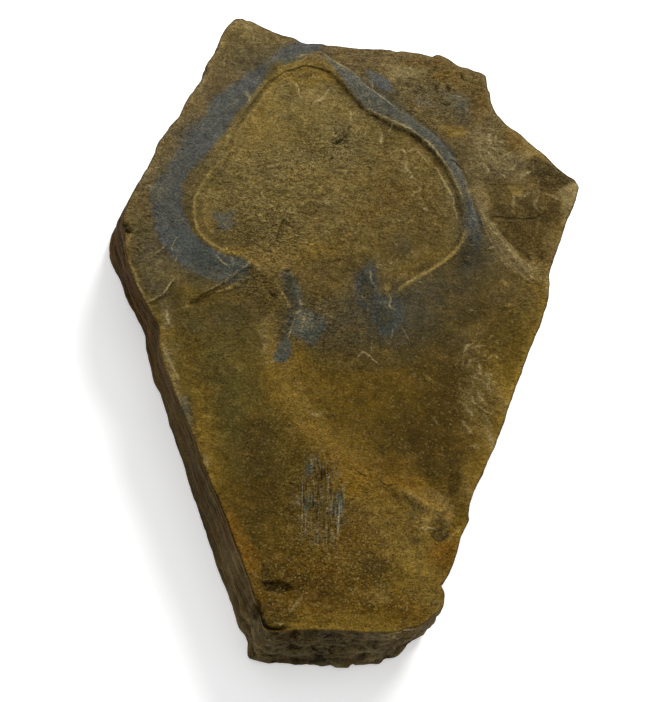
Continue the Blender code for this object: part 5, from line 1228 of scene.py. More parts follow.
        (.10, .90, [(128, 238), (146, 240), (172, 250), (215, 264), (246, 280), (240, 291), (205, 292), (182, 286),
                    (160, 300), (146, 284)]),
        (.30, .50, [(262, 78), (256, 88), (248, 102), (238, 114), (230, 126), (236, 128), (246, 114), (256, 100),
                    (264, 88)]),
        (.38, .50, [(208, 148), (196, 162), (186, 174), (182, 186), (180, 204), (183, 218), (191, 234), (202, 246),
                    (214, 254), (219, 249), (206, 240), (197, 228), (190, 214), (188, 200), (190, 186), (198, 174),
                    (214, 154)]),
        (.30, 1.0, [(176, 290), (215, 296), (262, 292), (266, 312), (215, 318), (180, 312)]),
        (.45, 1.2, [(316, 342), (400, 340), (412, 366), (330, 370)]),
        (.45, .50, [(256, 62), (270, 48), (288, 38), (306, 36), (322, 46), (300, 50), (284, 56), (268, 68)]),
        (.45, .60, [(512, 154), (526, 152), (532, 162), (520, 170), (508, 164)]),
        (.50, .50, [(434, 132), (446, 138), (456, 152), (450, 154), (440, 146)]),
        (.45, .70, [(432, 596), (446, 596), (447, 612), (438, 620), (428, 612)]),
        (.40, .60, [(474, 190), (484, 196), (490, 216), (500, 238), (520, 262), (512, 270), (496, 253), (484, 226)]),
        (.40, 1.6, [(296, 296), (330, 300), (360, 290), (400, 296), (440, 300), (436, 336), (400, 346), (350, 346),
                    (310, 352), (290, 340)]),
        (.35, 2.0, [(152, 298), (200, 296), (262, 300), (264, 345), (256, 400), (268, 470), (226, 470), (198, 400),
                    (168, 345)]),
        (.40, .50, [(278, 308), (290, 309), (293, 318), (292, 330), (284, 338), (277, 332), (275, 320)]),
        (.45, .40, [(294, 312), (302, 308), (314, 314), (323, 320), (325, 328), (319, 337), (314, 345),
                    (308, 342), (300, 336), (293, 330), (291, 322)]),
    ],
}
# the halo ends in a crisp line towards the theca
HALO_END = [(268, 58), (264, 68), (264.5, 78), (256.5, 90), (248.4, 102), (238.4, 112), (231.4, 122), (226.3, 132),
            (216.3, 142), (206.3, 154.4), (198.2, 162.4), (188.2, 172.4), (183.2, 184.5), (181.2, 200.6),
            (183.2, 212.6), (188.2, 226.7), (196.2, 236.7), (208.3, 246.8), (224.3, 254.8), (240.4, 258.8),
            (249.4, 264.8), (264, 262), (285, 250), (300, 215), (306, 160), (300, 104), (288, 78), (280, 62)]
CUTS = {"blue": [(.95, .30, HALO_END)], "cool": [(.80, .50, HALO_END)], "slate": [(.8, .4, HALO_END)],
        "grey": [(.55, .45, HALO_END)]}


def patch(x, y, soft, outline):
    """1 inside OUTLINE and 0 outside, changing over SOFT either side of it."""
    loop = resample(path(*outline), 0.8, True)[:, :2]
    d = nearest(x, y, np.vstack([loop, loop[:1]]), 8.0)[0]
    near = d < 8.0
    lo, hi = loop.min(0), loop.max(0)
    pick = np.nonzero((x > lo[0]) & (x < hi[0]) & (y > lo[1]) & (y < hi[1]))[0]
    within = np.zeros(x.shape, bool)
    within[pick] = inside(x[pick], y[pick], loop)
    return np.where(near, smooth(-soft, soft, np.where(within, d, -d)), within.astype(float))


def stain(name, x, y):
    wx = x + 0.9 * noise(x, y, 1.0, 6.5, 71) + 0.45 * noise(x, y, 2.0, 2.6, 72)
    wy = y + 0.9 * noise(x, y, 3.0, 6.5, 73) + 0.45 * noise(x, y, 4.0, 2.6, 74)
    m = np.zeros_like(x)
    for cx, cy, rx, ry, turn, s in SPOTS.get(name, []):
        m = 1 - (1 - m) * (1 - min(s, .98) * blob(wx, wy, cx, cy, rx, ry, turn))
    for line in STREAKS.get(name, []):
        curve = resample(line, 0.9, False)
        d, _, cols = nearest(wx, wy, curve, 9.0)
        s = cols[..., 1] * np.exp(-(d / np.maximum(cols[..., 0], 0.1)) ** 2) * (d < 9)
        m = 1 - (1 - m) * (1 - np.clip(s, 0, .98))
    # the outlined patches waver less than the soft spots
    vx = x + 0.24 * noise(x, y, 1.0, 2.6, 76) + 0.12 * noise(x, y, 1.0, 1.1, 77)
    vy = y + 0.24 * noise(x, y, 2.0, 2.6, 78) + 0.12 * noise(x, y, 2.0, 1.1, 79)
    for strength, soft, outline in CUTS.get(name, []):
        m = m * (1 - strength * patch(vx, vy, soft, outline))
    for strength, soft, outline in AREAS.get(name, []):
        m = 1 - (1 - m) * (1 - strength * patch(vx, vy, soft, outline))
    return m


# =====================================================================  the mesh
RIM_SPACING, FACE_SPACING, BACK_SPACING, WALL_SPACING = 0.55, 0.465, 1.15, 0.62


def wall_offset(px, py, z, foot, up, rough):
    """How far the wall stands out from the outline at share UP of the height."""
    lean = foot * (1 - up)
    quiet = smooth(1.0, 0.80, up)
    chunks = 0.80 * noise(px, py, z * 1.6, 9.0, 21) + 0.30 * noise(px, py, z * 2.0, 5.0, 22)
    beds = 0.30 * np.sin(z * 0.72 + 0.9 * noise(px, py, 0.0, 22.0, 23))
    # the long left side is a smooth joint, the others are broken
    joint = smooth(-10.0, -20.0, px) * smooth(6.0, -4.0, py) * (1 - rough)
    big = lean + quiet * (chunks + beds) * smooth(-0.05, 0.15, up) * (1 - 0.75 * joint)
    # thin laminae, each broken back a little more or less than the next
    zz = z + 0.55 * noise(px, py, 0.0, 13.0, 25)
    lam = noise(px / 16.0, py / 16.0, zz, 0.95, 26)
    lam2 = noise(px / 7.0, py / 7.0, zz, 0.52, 27)
    hard = np.tanh(3.0 * lam)
    fine = 0.15 * hard + 0.06 * lam2
    pits = smooth(0.25, 0.75, noise(px, py, z, 2.6, 28)) * (1 - 0.7 * joint)
    fine = fine - (0.22 + 0.95 * rough) * pits + 0.22 * rough * noise(px, py, z, 1.3, 29) \
        + 0.42 * rough * noise(px, py, z, 3.2, 30)
    top = smooth(1.0, 0.955, up)
    return big + fine * top * smooth(-0.02, 0.06, up)


def back_height(x, y):
    up = np.zeros_like(x)
    for cx, cy, rx, ry, depth in BACK_SCARS:
        q = ((x - cx) / rx) ** 2 + ((y - cy) / ry) ** 2
        q = q + 0.22 * noise(x, y, 5.0, 7.0, 11)
        up = np.maximum(up, depth * smooth(1.0, 0.35, q))
    scar = smooth(0.0, 0.4, up)
    up = up + scar * (0.12 * noise(x, y, 1.0, 3.0, 14) + 0.05 * noise(x, y, 1.0, 1.4, 15))
    # shallow pits in the flat part, so that it still rests on its high spots
    pits = smooth(0.15, 0.8, noise(x, y, 2.0, 6.0, 16)) * 0.22 + smooth(0.2, 0.8, noise(x, y, 2.0, 2.4, 17)) * 0.08
    return np.maximum(up, 0) + pits * (1 - scar)


def build():
    edge = resample(OUTLINE, RIM_SPACING, True)
    rim, foot = edge[:, :2].copy(), edge[:, 2]
    tangent = np.roll(rim, -1, 0) - np.roll(rim, 1, 0)
    tangent /= np.hypot(*tangent.T)[:, None]
    out = np.c_[-tangent[:, 1], tangent[:, 0]]
    reach = int(round(5.0 / RIM_SPACING))
    calm = sum(np.roll(out, k, 0) for k in range(-reach, reach + 1))
    calm /= np.hypot(*calm.T)[:, None]
    rx, ry = rim.T
    rim = rim + out * (0.16 * noise(rx, ry, 0.0, 3.1, 31) + 0.10 * noise(rx, ry, 0.0, 1.4, 32))[:, None]
    count = len(rim)

    pts, tris = fill(rim, FACE_SPACING, 0.36)
    face = Face(pts[:, 0], pts[:, 1], rim)
    height = THICKNESS + face.form() + face.fine()

    rows = int(round(THICKNESS / WALL_SPACING))
    ups = np.arange(rows) / rows
    # the bottom wall is broken rougher than the long sides
    rough = smooth(-58.0, -66.0, rim[:, 1])
    top_z = height[:count]
    rings, ring_up = [], []
    for up in ups:
        z = up * THICKNESS
        off = wall_offset(rim[:, 0], rim[:, 1], z, foot, up, rough)
        drawn = BASE_CHAMFER * (1 - smooth(0, 1.1, z))
        xy = rim + calm * (off - drawn)[:, None]
        zz = np.full(count, z) + (top_z - THICKNESS) * up ** 3
        rings.append(np.c_[xy, zz])
        ring_up.append(np.full(count, up))
    base = rings[0][:, :2]
    bpts, btris = fill(base, BACK_SPACING, 0.8)
    lift = back_height(bpts[:, 0], bpts[:, 1])
    rings[0][:, 2] = lift[:count]
    for k in range(1, 8):
        least = lift[:count] + 0.12 * k
        rings[k][:, 2] = np.maximum(rings[k][:, 2], least)

    n_face, n_ring = len(pts), rows * count
    verts = np.vstack([np.c_[pts, height]] + rings + [np.c_[bpts[count:], lift[count:]]])
    ring_at = n_face + np.arange(n_ring).reshape(rows, count)
    back_at = np.r_[ring_at[0], n_face + n_ring + np.arange(len(bpts) - count)]

    def turned(tri, p, up):
        a, b, c = p[tri[:, 0]], p[tri[:, 1]], p[tri[:, 2]]
        area = (b[:, 0] - a[:, 0]) * (c[:, 1] - a[:, 1]) - (b[:, 1] - a[:, 1]) * (c[:, 0] - a[:, 0])
        flip = (area > 0) != up
        tri = tri.copy()
        tri[flip] = tri[flip][:, ::-1]
        return tri

    faces = [turned(tris, pts, True), back_at[turned(btris, bpts, False)]]
    columns = [ring_at[k] for k in range(rows)] + [np.arange(count)]
    j = (np.arange(count) + 1) % count
    for k, (low, high) in enumerate(zip(columns, columns[1:])):
        a, b, c, d = low, low[j], high[j], high
        even = (np.arange(count) + k) % 2 == 0
        first = np.where(even[:, None], np.c_[b, a, d], np.c_[b, a, c])
        second = np.where(even[:, None], np.c_[b, d, c], np.c_[a, d, c])
        faces += [first, second]
    faces = np.vstack(faces)

    mesh = bpy.data.meshes.new("slab_surface")
    mesh.vertices.add(len(verts))
    mesh.vertices.foreach_set("co", (verts * 0.001).astype(np.float32).ravel())
    mesh.loops.add(len(faces) * 3)
    mesh.loops.foreach_set("vertex_index", faces.astype(np.int32).ravel())
    mesh.polygons.add(len(faces))
    mesh.polygons.foreach_set("loop_start", np.arange(0, len(faces) * 3, 3, dtype=np.int32))
    mesh.polygons.foreach_set("loop_total", np.full(len(faces), 3, dtype=np.int32))
    mesh.update(calc_edges=True)
    mesh.validate()
    mesh.shade_smooth()
    # the face breaks off sharply into the walls
    ends_of = np.empty(len(mesh.edges) * 2, np.int32)
    mesh.edges.foreach_get("vertices", ends_of)
    ends_of = ends_of.reshape(-1, 2)
    on_rim = (ends_of < count).all(1)
    step_apart = np.abs(ends_of[:, 0] - ends_of[:, 1])
    on_rim &= (step_apart == 1) | (step_apart == count - 1)
    layer = mesh.attributes.new("sharp_edge", "BOOLEAN", "EDGE")
    layer.data.foreach_set("value", on_rim)

    # what the stone's material reads at each point
    total = len(verts)

    def keep(name, on_face, elsewhere=0.0):
        data = np.full(total, elsewhere, np.float32)
        data[:n_face] = on_face
        layer = mesh.attributes.new(name, "FLOAT", "POINT")
        layer.data.foreach_set("value", data)
        return data

    for name in SPOTS:
        keep("m_" + name, stain(name, face.x, face.y))
    keep("deep", np.clip(face.deep, -20, 20), -20.0)
    for name, (q, strength) in face.lines.items():
        keep(name + "_q", q, 9.0)
        keep(name + "_s", strength)
    keep("crevice", face.crevice)
    keep("edge_d", np.minimum(face.rim_d, 20.0))
    keep("sink", face.sink)
    scr = np.zeros_like(face.x)
    for cx, cy, ax, ay, s in [(308, 505, 13, 34, 1.0), (334, 505, 11, 38, .8), (322, 485, 22, 30, .9),
                              (320, 525, 24, 22, .6)]:
        scr = np.maximum(scr, s * smooth(0.15, 0.75, blob(face.x, face.y, cx, cy, ax, ay)))
    keep("scratch", scr)
    keep("wall", np.where(face.rim_d < 0.02, 0.5, 0.0), 1.0)
    sandy = np.zeros_like(face.x)
    for cx, cy, ax, ay, s in [(330, 570, 90, 50, 1.0), (280, 600, 50, 36, .8), (380, 540, 70, 50, .8),
                              (400, 600, 50, 34, .8), (300, 430, 60, 60, .4), (420, 420, 70, 60, .3)]:
        sandy = np.maximum(sandy, s * blob(face.x, face.y, cx, cy, ax, ay))
    keep("sandy", sandy)
    keep("cord_near", smooth(7.0, 4.5, face.cord_d))
    # how far towards the head end: the material paints the stone greyer and paler there, as painted sheen and stronger
    # light
    keep("high", smooth(-8.0, 40.0, face.y))
    worm = np.zeros_like(face.x)
    for cx, cy, ax, ay, s in [(500, 155, 44, 40, 1.0), (480, 190, 20, 26, .6), (525, 205, 26, 26, .45),
                              (478, 380, 30, 62, .75), (400, 155, 44, 22, .55), (325, 95, 30, 14, .65),
                              (372, 150, 12, 12, .35), (295, 95, 16, 12, .6), (262, 34, 26, 16, .7), (398, 72, 26, 10, .6),
                              (235, 135, 10, 14, .5), (470, 250, 14, 20, .3), (300, 320, 16, 20, .5),
                              (430, 528, 18, 6, .6), (520, 262, 24, 14, .5), (168, 360, 9, 40, .6),
                              (375, 300, 22, 30, .25), (450, 300, 50, 40, .15)]:
        worm = np.maximum(worm, s * smooth(0.1, 0.8, blob(face.x, face.y, cx, cy, ax, ay)))
    keep("worm", worm)
    crumple = np.full_like(face.x, 0.50)
    for cx, cy, ax, ay, s in CRUMPLED:
        crumple = crumple + s * smooth(0.05, 0.85, blob(face.x, face.y, cx, cy, ax, ay))
    keep("crumple", np.clip(crumple, 0.12, 1.35), 0.5)

    # the walls: redder towards the head end, greyer towards the tail
    tone = smooth(8.0, -26.0, verts[:, 1] + 5.0 * noise(verts[:, 0], verts[:, 1], verts[:, 2], 12.0, 41))
    layer = mesh.attributes.new("tone", "FLOAT", "POINT")
    layer.data.foreach_set("value", tone.astype(np.float32))
    broken = smooth(-60.0, -67.0, verts[:, 1]) * (np.arange(total) >= n_face)
    layer = mesh.attributes.new("rough_wall", "FLOAT", "POINT")
    layer.data.foreach_set("value", broken.astype(np.float32))

    # the upper and right-hand walls are older breaks, weathered grey
    aim = verts[:, :2] - np.array(at(300, 330))
    aim = aim / (np.linalg.norm(aim, axis=1)[:, None] + 1e-9)
    far_wall = smooth(-0.15, 0.25, 0.62 * aim[:, 0] + 0.78 * aim[:, 1]) * (np.arange(total) >= n_face)
    layer = mesh.attributes.new("far_wall", "FLOAT", "POINT")
    layer.data.foreach_set("value", far_wall.astype(np.float32))

    # a painted highlight on a facet just under the lower right edge, as on a face tilted up to the light
    fx, fy = at(404, 632)
    facet = np.exp(-((verts[:, 0] - fx) / 4.2) ** 2) * smooth(THICKNESS - 4.2, THICKNESS - 3.0, verts[:, 2]) \
        * smooth(-55.0, -60.0, verts[:, 1]) * (np.arange(total) >= n_face)
    # and the paler foot of the long left side
    corner = 0.22 * smooth(-44.0, -56.0, verts[:, 1]) * smooth(-14.0, -19.0, verts[:, 0]) \
        * smooth(-0.6, 0.4, noise(verts[:, 0], verts[:, 1], verts[:, 2], 4.0, 43)) * (np.arange(total) >= n_face)
    # the broken wall at the tail end is paler and greyer to the right
    pale_end = 0.26 * smooth(-4.0, 6.0, verts[:, 0]) * smooth(-58.0, -64.0, verts[:, 1]) \
        * smooth(-0.5, 0.5, noise(verts[:, 0], verts[:, 1], verts[:, 2], 3.4, 44)) * (np.arange(total) >= n_face)
    facet = np.maximum(facet, np.maximum(corner, pale_end))
    layer = mesh.attributes.new("facet", "FLOAT", "POINT")
    layer.data.foreach_set("value", facet.astype(np.float32))

    # crest and hollow: height above its own neighbourhood
    pairs = np.empty(len(mesh.edges) * 2, np.int32)
    mesh.edges.foreach_get("vertices", pairs)
    pairs = pairs.reshape(-1, 2)
    degree = np.bincount(pairs.ravel(), minlength=total).astype(float)
    soft = verts.copy()
    for _ in range(6):
        acc = np.zeros_like(soft)
        for c in range(3):
            acc[:, c] = np.bincount(pairs[:, 0], soft[pairs[:, 1], c], total) \
                + np.bincount(pairs[:, 1], soft[pairs[:, 0], c], total)
        soft = 0.5 * soft + 0.5 * acc / degree[:, None]
    normals = np.empty(total * 3, np.float32)
    mesh.vertices.foreach_get("normal", normals)
    lift = ((verts - soft) * normals.reshape(-1, 3)).sum(1)
    layer = mesh.attributes.new("relief", "FLOAT", "POINT")
    layer.data.foreach_set("value", np.clip(lift * 12, -1.5, 1.5).astype(np.float32))
    print("slab surface:", len(faces), "triangles")
    return mesh


# ================================================================  the material
class Graph:
    """Short names for the shader nodes that the stone is mixed from."""

    def __init__(self, material):
        material.use_nodes = True
        self.tree = material.node_tree
        self.tree.nodes.clear()
        self.coords = self.tree.nodes.new("ShaderNodeTexCoord").outputs["Object"]

    def link(self, value, socket):
        if isinstance(value, (int, float)):
            socket.default_value = value
        elif isinstance(value, tuple):
            socket.default_value = value + (1.0,) * (len(socket.default_value) - len(value))
        else:
            self.tree.links.new(value, socket)

    def attr(self, name):
        node = self.tree.nodes.new("ShaderNodeAttribute")
        node.attribute_name = name
        return node.outputs["Fac"]

    def stretched(self, sx, sy, sz, turn=0.0):
        node = self.tree.nodes.new("ShaderNodeMapping")
        node.inputs["Scale"].default_value = (sx, sy, sz)
        node.inputs["Rotation"].default_value = (0, 0, math.radians(turn))
        self.link(self.coords, node.inputs["Vector"])
        return node.outputs["Vector"]

    def noise(self, size_mm, detail=2.0, rough=0.5, warp=0.0, where=None):
        node = self.tree.nodes.new("ShaderNodeTexNoise")
        node.inputs["Scale"].default_value = 1000.0 / size_mm
        node.inputs["Detail"].default_value = detail
        node.inputs["Roughness"].default_value = rough
        node.inputs["Distortion"].default_value = warp
        self.link(where or self.coords, node.inputs["Vector"])
        return node.outputs["Fac"]

    def cells(self, size_mm, feature="F1", where=None):
        node = self.tree.nodes.new("ShaderNodeTexVoronoi")
        node.feature = feature
        node.inputs["Scale"].default_value = 1000.0 / size_mm
        self.link(where or self.coords, node.inputs["Vector"])
        return node.outputs["Distance"], node.outputs.get("Color")

    def math(self, op, a, b=0.0, c=None, clamp=False):
        node = self.tree.nodes.new("ShaderNodeMath")
        node.operation = op
        node.use_clamp = clamp
        self.link(a, node.inputs[0])
        self.link(b, node.inputs[1])
        if c is not None:
            self.link(c, node.inputs[2])
        return node.outputs[0]

    def add(self, a, b, clamp=False):
        return self.math("ADD", a, b, clamp=clamp)

    def sub(self, a, b, clamp=False):
        return self.math("SUBTRACT", a, b, clamp=clamp)

    def mul(self, a, b, clamp=False):
        return self.math("MULTIPLY", a, b, clamp=clamp)

    def band(self, value, lo, hi, to_lo=0.0, to_hi=1.0, smoothly=True):
        node = self.tree.nodes.new("ShaderNodeMapRange")
        node.interpolation_type = "SMOOTHSTEP" if smoothly else "LINEAR"
        node.clamp = True
        for key, v in (("From Min", lo), ("From Max", hi), ("To Min", to_lo), ("To Max", to_hi)):
            node.inputs[key].default_value = v
        self.link(value, node.inputs["Value"])
        return node.outputs["Result"]

    def mix(self, fac, a, b, blend="MIX"):
        node = self.tree.nodes.new("ShaderNodeMix")
        node.data_type = "RGBA"
        node.blend_type = blend
        node.clamp_factor = True
        self.link(fac, node.inputs["Factor"])
        ins = [s for s in node.inputs if s.type == "RGBA"]
        self.link(a, ins[0])
        self.link(b, ins[1])
        return next(s for s in node.outputs if s.type == "RGBA")

    def times(self, colour, factor):
        """COLOUR with its brightness multiplied by FACTOR, a number socket."""
        node = self.tree.nodes.new("ShaderNodeVectorMath")
        node.operation = "SCALE"
        self.link(colour, node.inputs[0])
        self.link(factor, node.inputs["Scale"])
        return node.outputs["Vector"]


def rgb(r, g, b):
    """A colour given as it shows on screen, 0 to 255, as linear light."""
    out = []
    for v, gain in zip((r, g, b), GAIN):
        v /= 255.0
        out.append(gain * (v / 12.92 if v <= 0.04045 else ((v + 0.055) / 1.055) ** 2.4))
    return tuple(out)


# what the studio light adds to each channel is taken off the colours here
GAIN = (0.755, 0.715, 0.60)


def stone():
    material = bpy.data.materials.new("iron_stained_siltstone")
    g = Graph(material)
    n = g.tree.nodes
    out = n.new("ShaderNodeOutputMaterial")
    shader = n.new("ShaderNodeBsdfPrincipled")

    # --- noises shared by colour and relief
    broad = g.noise(9.0, 4.0, 0.6, 0.4)
    medium = g.noise(2.8, 4.0, 0.62, 0.5)
    small = g.noise(0.95, 3.0, 0.6)
    grain = g.noise(0.44, 2.0, 0.55, 0.0, g.stretched(0.55, 1.0, 1.0, -5.0))
    dust = g.noise(0.25, 1.0, 0.5, 0.0, g.stretched(0.70, 1.0, 1.0, 8.0))
    lying = g.stretched(0.42, 1.0, 1.0, 4.0)
    wrinkle = g.noise(1.50, 2.5, 0.58, 1.1, lying)
    wrinkle2 = g.noise(0.85, 2.0, 0.58, 1.0, g.stretched(0.45, 1.0, 1.0, -7.0))
    wrinkle3 = g.noise(0.52, 1.0, 0.55, 0.8, g.stretched(0.50, 1.0, 1.0, 11.0))
    worms = g.noise(3.0, 3.0, 0.60, 1.2)
    worms2 = g.noise(1.7, 2.0, 0.55, 1.6)
    patches = g.noise(5.0, 3.0, 0.6, 0.5)

    deep = g.attr("deep")
    sink = g.attr("sink")
    wall = g.attr("wall")
    relief = g.attr("relief")
    sandy = g.attr("sandy")
    wob = g.sub(g.add(g.add(g.mul(medium, 0.45), g.mul(small, 0.30)), g.mul(wrinkle, 0.25)), 0.5)

    def cover(name, ragged=2.2, crisp=0.30, full=1.0):
        """A stain's mask: most of it soft, the rest with a crisp edge broken up
        by the grain of the stone."""
        m = g.attr("m_" + name)
        broken = g.add(m, g.mul(g.mul(wob, ragged), g.band(m, 0.0, 0.20)))
        return g.add(g.mul(g.band(broken, 0.0, full, smoothly=False), 1.0 - crisp),
                     g.mul(g.band(broken, 0.34, 0.62), crisp))

    def ridge(value, width, level=0.5):
        """Thin lines where a noise crosses a level."""
        return g.band(g.math("ABSOLUTE", g.sub(value, level)), 0.0, width, 1.0, 0.0)

    def lines_of(kind, jitter=1.7):
        """All the drawn lines of one kind, a little unsteady."""
        total = None
        for name in line_names:
            if not name.startswith(kind):
                continue
            q = g.add(g.attr(name + "_q"), g.mul(g.sub(small, 0.5), jitter * 2.0))
            fall = g.mul(g.math("EXPONENT", g.mul(g.mul(q, q), -1.0)), g.attr(name + "_s"))
            total = fall if total is None else g.math("MAXIMUM", total, fall)
        return total

    # --- colour of the face, stain over stain
    # painted light: the head end is painted greyer and paler, a painted sheen and stronger light falling there
    high = g.attr("high")       # the head end is greyer and paler than the tail end
    colour = g.mix(g.band(broad, 0.40, 0.60), g.mix(high, rgb(88, 70, 19), rgb(93, 79, 48)),
                   g.mix(high, rgb(101, 81, 24), rgb(107, 92, 58)))
    in_theca = g.band(deep, -0.4, 1.6)
    colour = g.mix(g.mul(in_theca, 0.85), colour, g.mix(high, rgb(98, 79, 34), rgb(108, 91, 47)))
    colour = g.mix(cover("mauve"), colour, rgb(106, 90, 63))
    colour = g.mix(cover("olive"), colour, rgb(82, 72, 30))
    colour = g.mix(g.mul(cover("grey", 1.6), 0.85), colour, g.mix(high, rgb(70, 62, 40), rgb(86, 80, 63)))
    colour = g.mix(g.mul(cover("straw"), 0.85), colour, rgb(128, 110, 60))
    colour = g.mix(g.mul(cover("tan"), 0.85), colour, rgb(126, 106, 66))
    colour = g.mix(g.mul(cover("gold"), 0.85), colour, rgb(127, 102, 36))
    colour = g.mix(g.mul(cover("rust"), 0.80), colour, rgb(107, 75, 18))
    colour = g.mix(g.mul(cover("dark", 1.8), 0.85), colour, rgb(65, 50, 15))
    colour = g.mix(g.mul(cover("blue", 0.90, 0.45, 0.78), 0.95), colour, g.mix(high, rgb(70, 79, 79), rgb(82, 87, 88)))
    colour = g.mix(g.mul(cover("slate"), 0.90), colour, rgb(52, 52, 42))
    colour = g.mix(g.mul(cover("pale"), 0.75), colour, rgb(142, 127, 90))

    # patches of warmer and greyer tint within every stain
    plain = g.sub(1.0, g.mul(g.attr("m_blue"), 0.85))
    colour = g.mix(g.mul(g.band(patches, 0.54, 0.64, 0.0, 0.24), plain), colour, rgb(114, 84, 28))
    colour = g.mix(g.mul(g.band(patches, 0.46, 0.36, 0.0, 0.24), plain), colour,
                   g.mix(high, rgb(74, 62, 28), rgb(82, 76, 52)))
    colour = g.mix(g.mul(g.band(medium, 0.56, 0.66, 0.0, 0.12), plain), colour, rgb(132, 112, 66))
    colour = g.mix(g.mul(g.band(medium, 0.44, 0.34, 0.0, 0.14), plain), colour, rgb(66, 54, 26))

    # darker, lighter, cooler or warmer than all that, patch by patch
    for name, tint in (("dim", (0.50, 0.50, 0.50)), ("lift", (1.50, 1.50, 1.50)),
                       ("cool", (0.90, 1.02, 1.50)), ("warm", (1.06, 0.96, 0.52))):
        much = g.attr("m_" + name)
        if name == "cool":      # the bluish stains are cool already
            less = g.add(g.mul(high, -0.5), 0.85)
            much = g.mul(much, g.sub(1.0, g.mul(g.attr("m_blue"), less)))
        colour = g.mix(much, colour, tint, "MULTIPLY")

    # --- the margin of the theca: painted shade on the ledge wall that faces away from the light
    d1 = g.add(deep, g.mul(g.sub(medium, 0.5), 0.5))
    ledge = g.mul(g.band(d1, -0.34, -0.14), g.band(d1, 0.46, 0.14))
    ledge = g.mul(ledge, g.mul(g.band(sink, 0.70, 0.90), g.attr("cord_near")))
    colour = g.mix(g.mul(ledge, g.band(small, 0.25, 0.6, 0.95, 0.65)), colour, rgb(52, 38, 12))
    d2 = g.add(deep, g.mul(g.sub(medium, 0.5), 0.9))
    # a narrow brown gap between its yellow thread and the bluish halo
    gap = g.mul(g.band(d2, -1.7, -0.6), g.band(d2, 0.1, -0.3))
    gap = g.mul(gap, g.mul(g.band(sink, 0.85, 0.60), g.band(sink, 0.10, 0.26)))
    colour = g.mix(g.mul(gap, 0.22), colour, rgb(82, 72, 44))

    # drawn threads, broken up along their length
    broken = g.band(g.add(g.mul(medium, 0.5), g.mul(small, 0.5)), 0.38, 0.54, 0.42, 1.0)
    thread = g.mul(lines_of("yellow", 2.0), broken)
    colour = g.mix(g.mul(thread, 0.72), colour, rgb(154, 132, 74))
    # the pale lines are partly painted highlights along the crests of the cord and the tail, and partly pale flecks,
    # squiggles and scratches
    crest = g.mul(lines_of("pale"), broken)
    colour = g.mix(g.mul(crest, 0.80), colour, rgb(174, 160, 122))

    # worm-like pale marks
    squiggle = g.math("MAXIMUM", ridge(worms, 0.026), g.mul(ridge(worms2, 0.040, 0.52), 0.8))
    squiggle = g.mul(squiggle, g.band(patches, 0.46, 0.58))
    worm = g.mul(g.attr("worm"), squiggle)
    colour = g.mix(g.mul(worm, 0.55), colour, rgb(158, 142, 100))
    # fine yellow threads all over the theca
    fine_thread = g.mul(ridge(worms2, 0.020, 0.46), g.band(medium, 0.49, 0.58))
    colour = g.mix(g.mul(g.mul(fine_thread, g.band(deep, -6.0, 1.0, 0.25, 0.75)), 0.8), colour, rgb(152, 132, 80))

    # --- scratches of a tool: short upright strokes, light and dark
    lines = g.noise(0.40, 2.0, 0.6, 0.2, g.stretched(1.0, 0.09, 1.0, 3.0))
    lines2 = g.noise(0.62, 2.0, 0.6, 0.2, g.stretched(1.0, 0.12, 1.0, -2.0))
    scratch = g.attr("scratch")
    light_s = g.mul(scratch, g.band(lines, 0.535, 0.60))
    dark_s = g.mul(scratch, g.band(lines2, 0.46, 0.37))
    colour = g.mix(g.mul(light_s, 0.72), colour, rgb(134, 134, 126))
    colour = g.mix(g.mul(dark_s, 0.70), colour, rgb(44, 33, 14))

    # --- walls and back: bedded, greyer, and darker, partly as painted shade; redder above, greyer below
    tone = g.attr("tone")
    beds = g.noise(0.80, 3.0, 0.6, 0.25, g.stretched(0.085, 0.085, 1.0))
    beds2 = g.noise(2.6, 3.0, 0.6, 0.3, g.stretched(0.10, 0.10, 1.0))
    beds3 = g.noise(0.42, 2.0, 0.6, 0.2, g.stretched(0.06, 0.06, 1.0))
    warm = g.mix(g.band(beds2, 0.40, 0.60), rgb(60, 40, 8), rgb(88, 62, 16))
    cold = g.mix(g.band(beds2, 0.40, 0.60), rgb(70, 54, 15), rgb(96, 79, 36))
    side = g.mix(tone, warm, cold)
    side = g.mix(g.band(beds, 0.44, 0.62, 0.0, 0.60), side, g.mix(tone, rgb(106, 80, 32), rgb(112, 96, 58)))
    side = g.mix(g.band(beds, 0.46, 0.36, 0.0, 0.70), side, rgb(44, 32, 10))
    side = g.mix(g.band(broad, 0.50, 0.62, 0.0, 0.40), side, rgb(96, 62, 22))
    side = g.mix(g.band(medium, 0.58, 0.70, 0.0, 0.40), side, rgb(48, 37, 20))
    side = g.times(side, g.band(beds3, 0.30, 0.70, 0.62, 1.38, False))
    # voids in the broken lower wall, painted near black as shade
    voids = g.math("MAXIMUM", g.band(g.noise(1.25, 3.0, 0.62, 0.8), 0.41, 0.36),
                   g.band(g.noise(3.2, 3.0, 0.6, 0.6), 0.38, 0.34))
    hole = g.mul(voids, g.attr("rough_wall"))
    side = g.mix(g.mul(g.attr("rough_wall"), g.band(patches, 0.42, 0.56, 0.15, 0.75)), side, rgb(98, 90, 66))
    side = g.mix(g.mul(hole, 0.92), side, rgb(20, 15, 9))
    # painted highlight on the facet under the lower right edge; the paler foot and tail-end wall take the same mix
    side = g.mix(g.attr("facet"), side, rgb(186, 166, 124))
    weathered = g.mix(g.band(medium, 0.40, 0.60), rgb(74, 65, 42), rgb(112, 99, 68))
    side = g.mix(g.mul(g.attr("far_wall"), g.band(patches, 0.36, 0.60, 0.40, 0.85)), side, weathered)
    colour = g.mix(wall, colour, side)

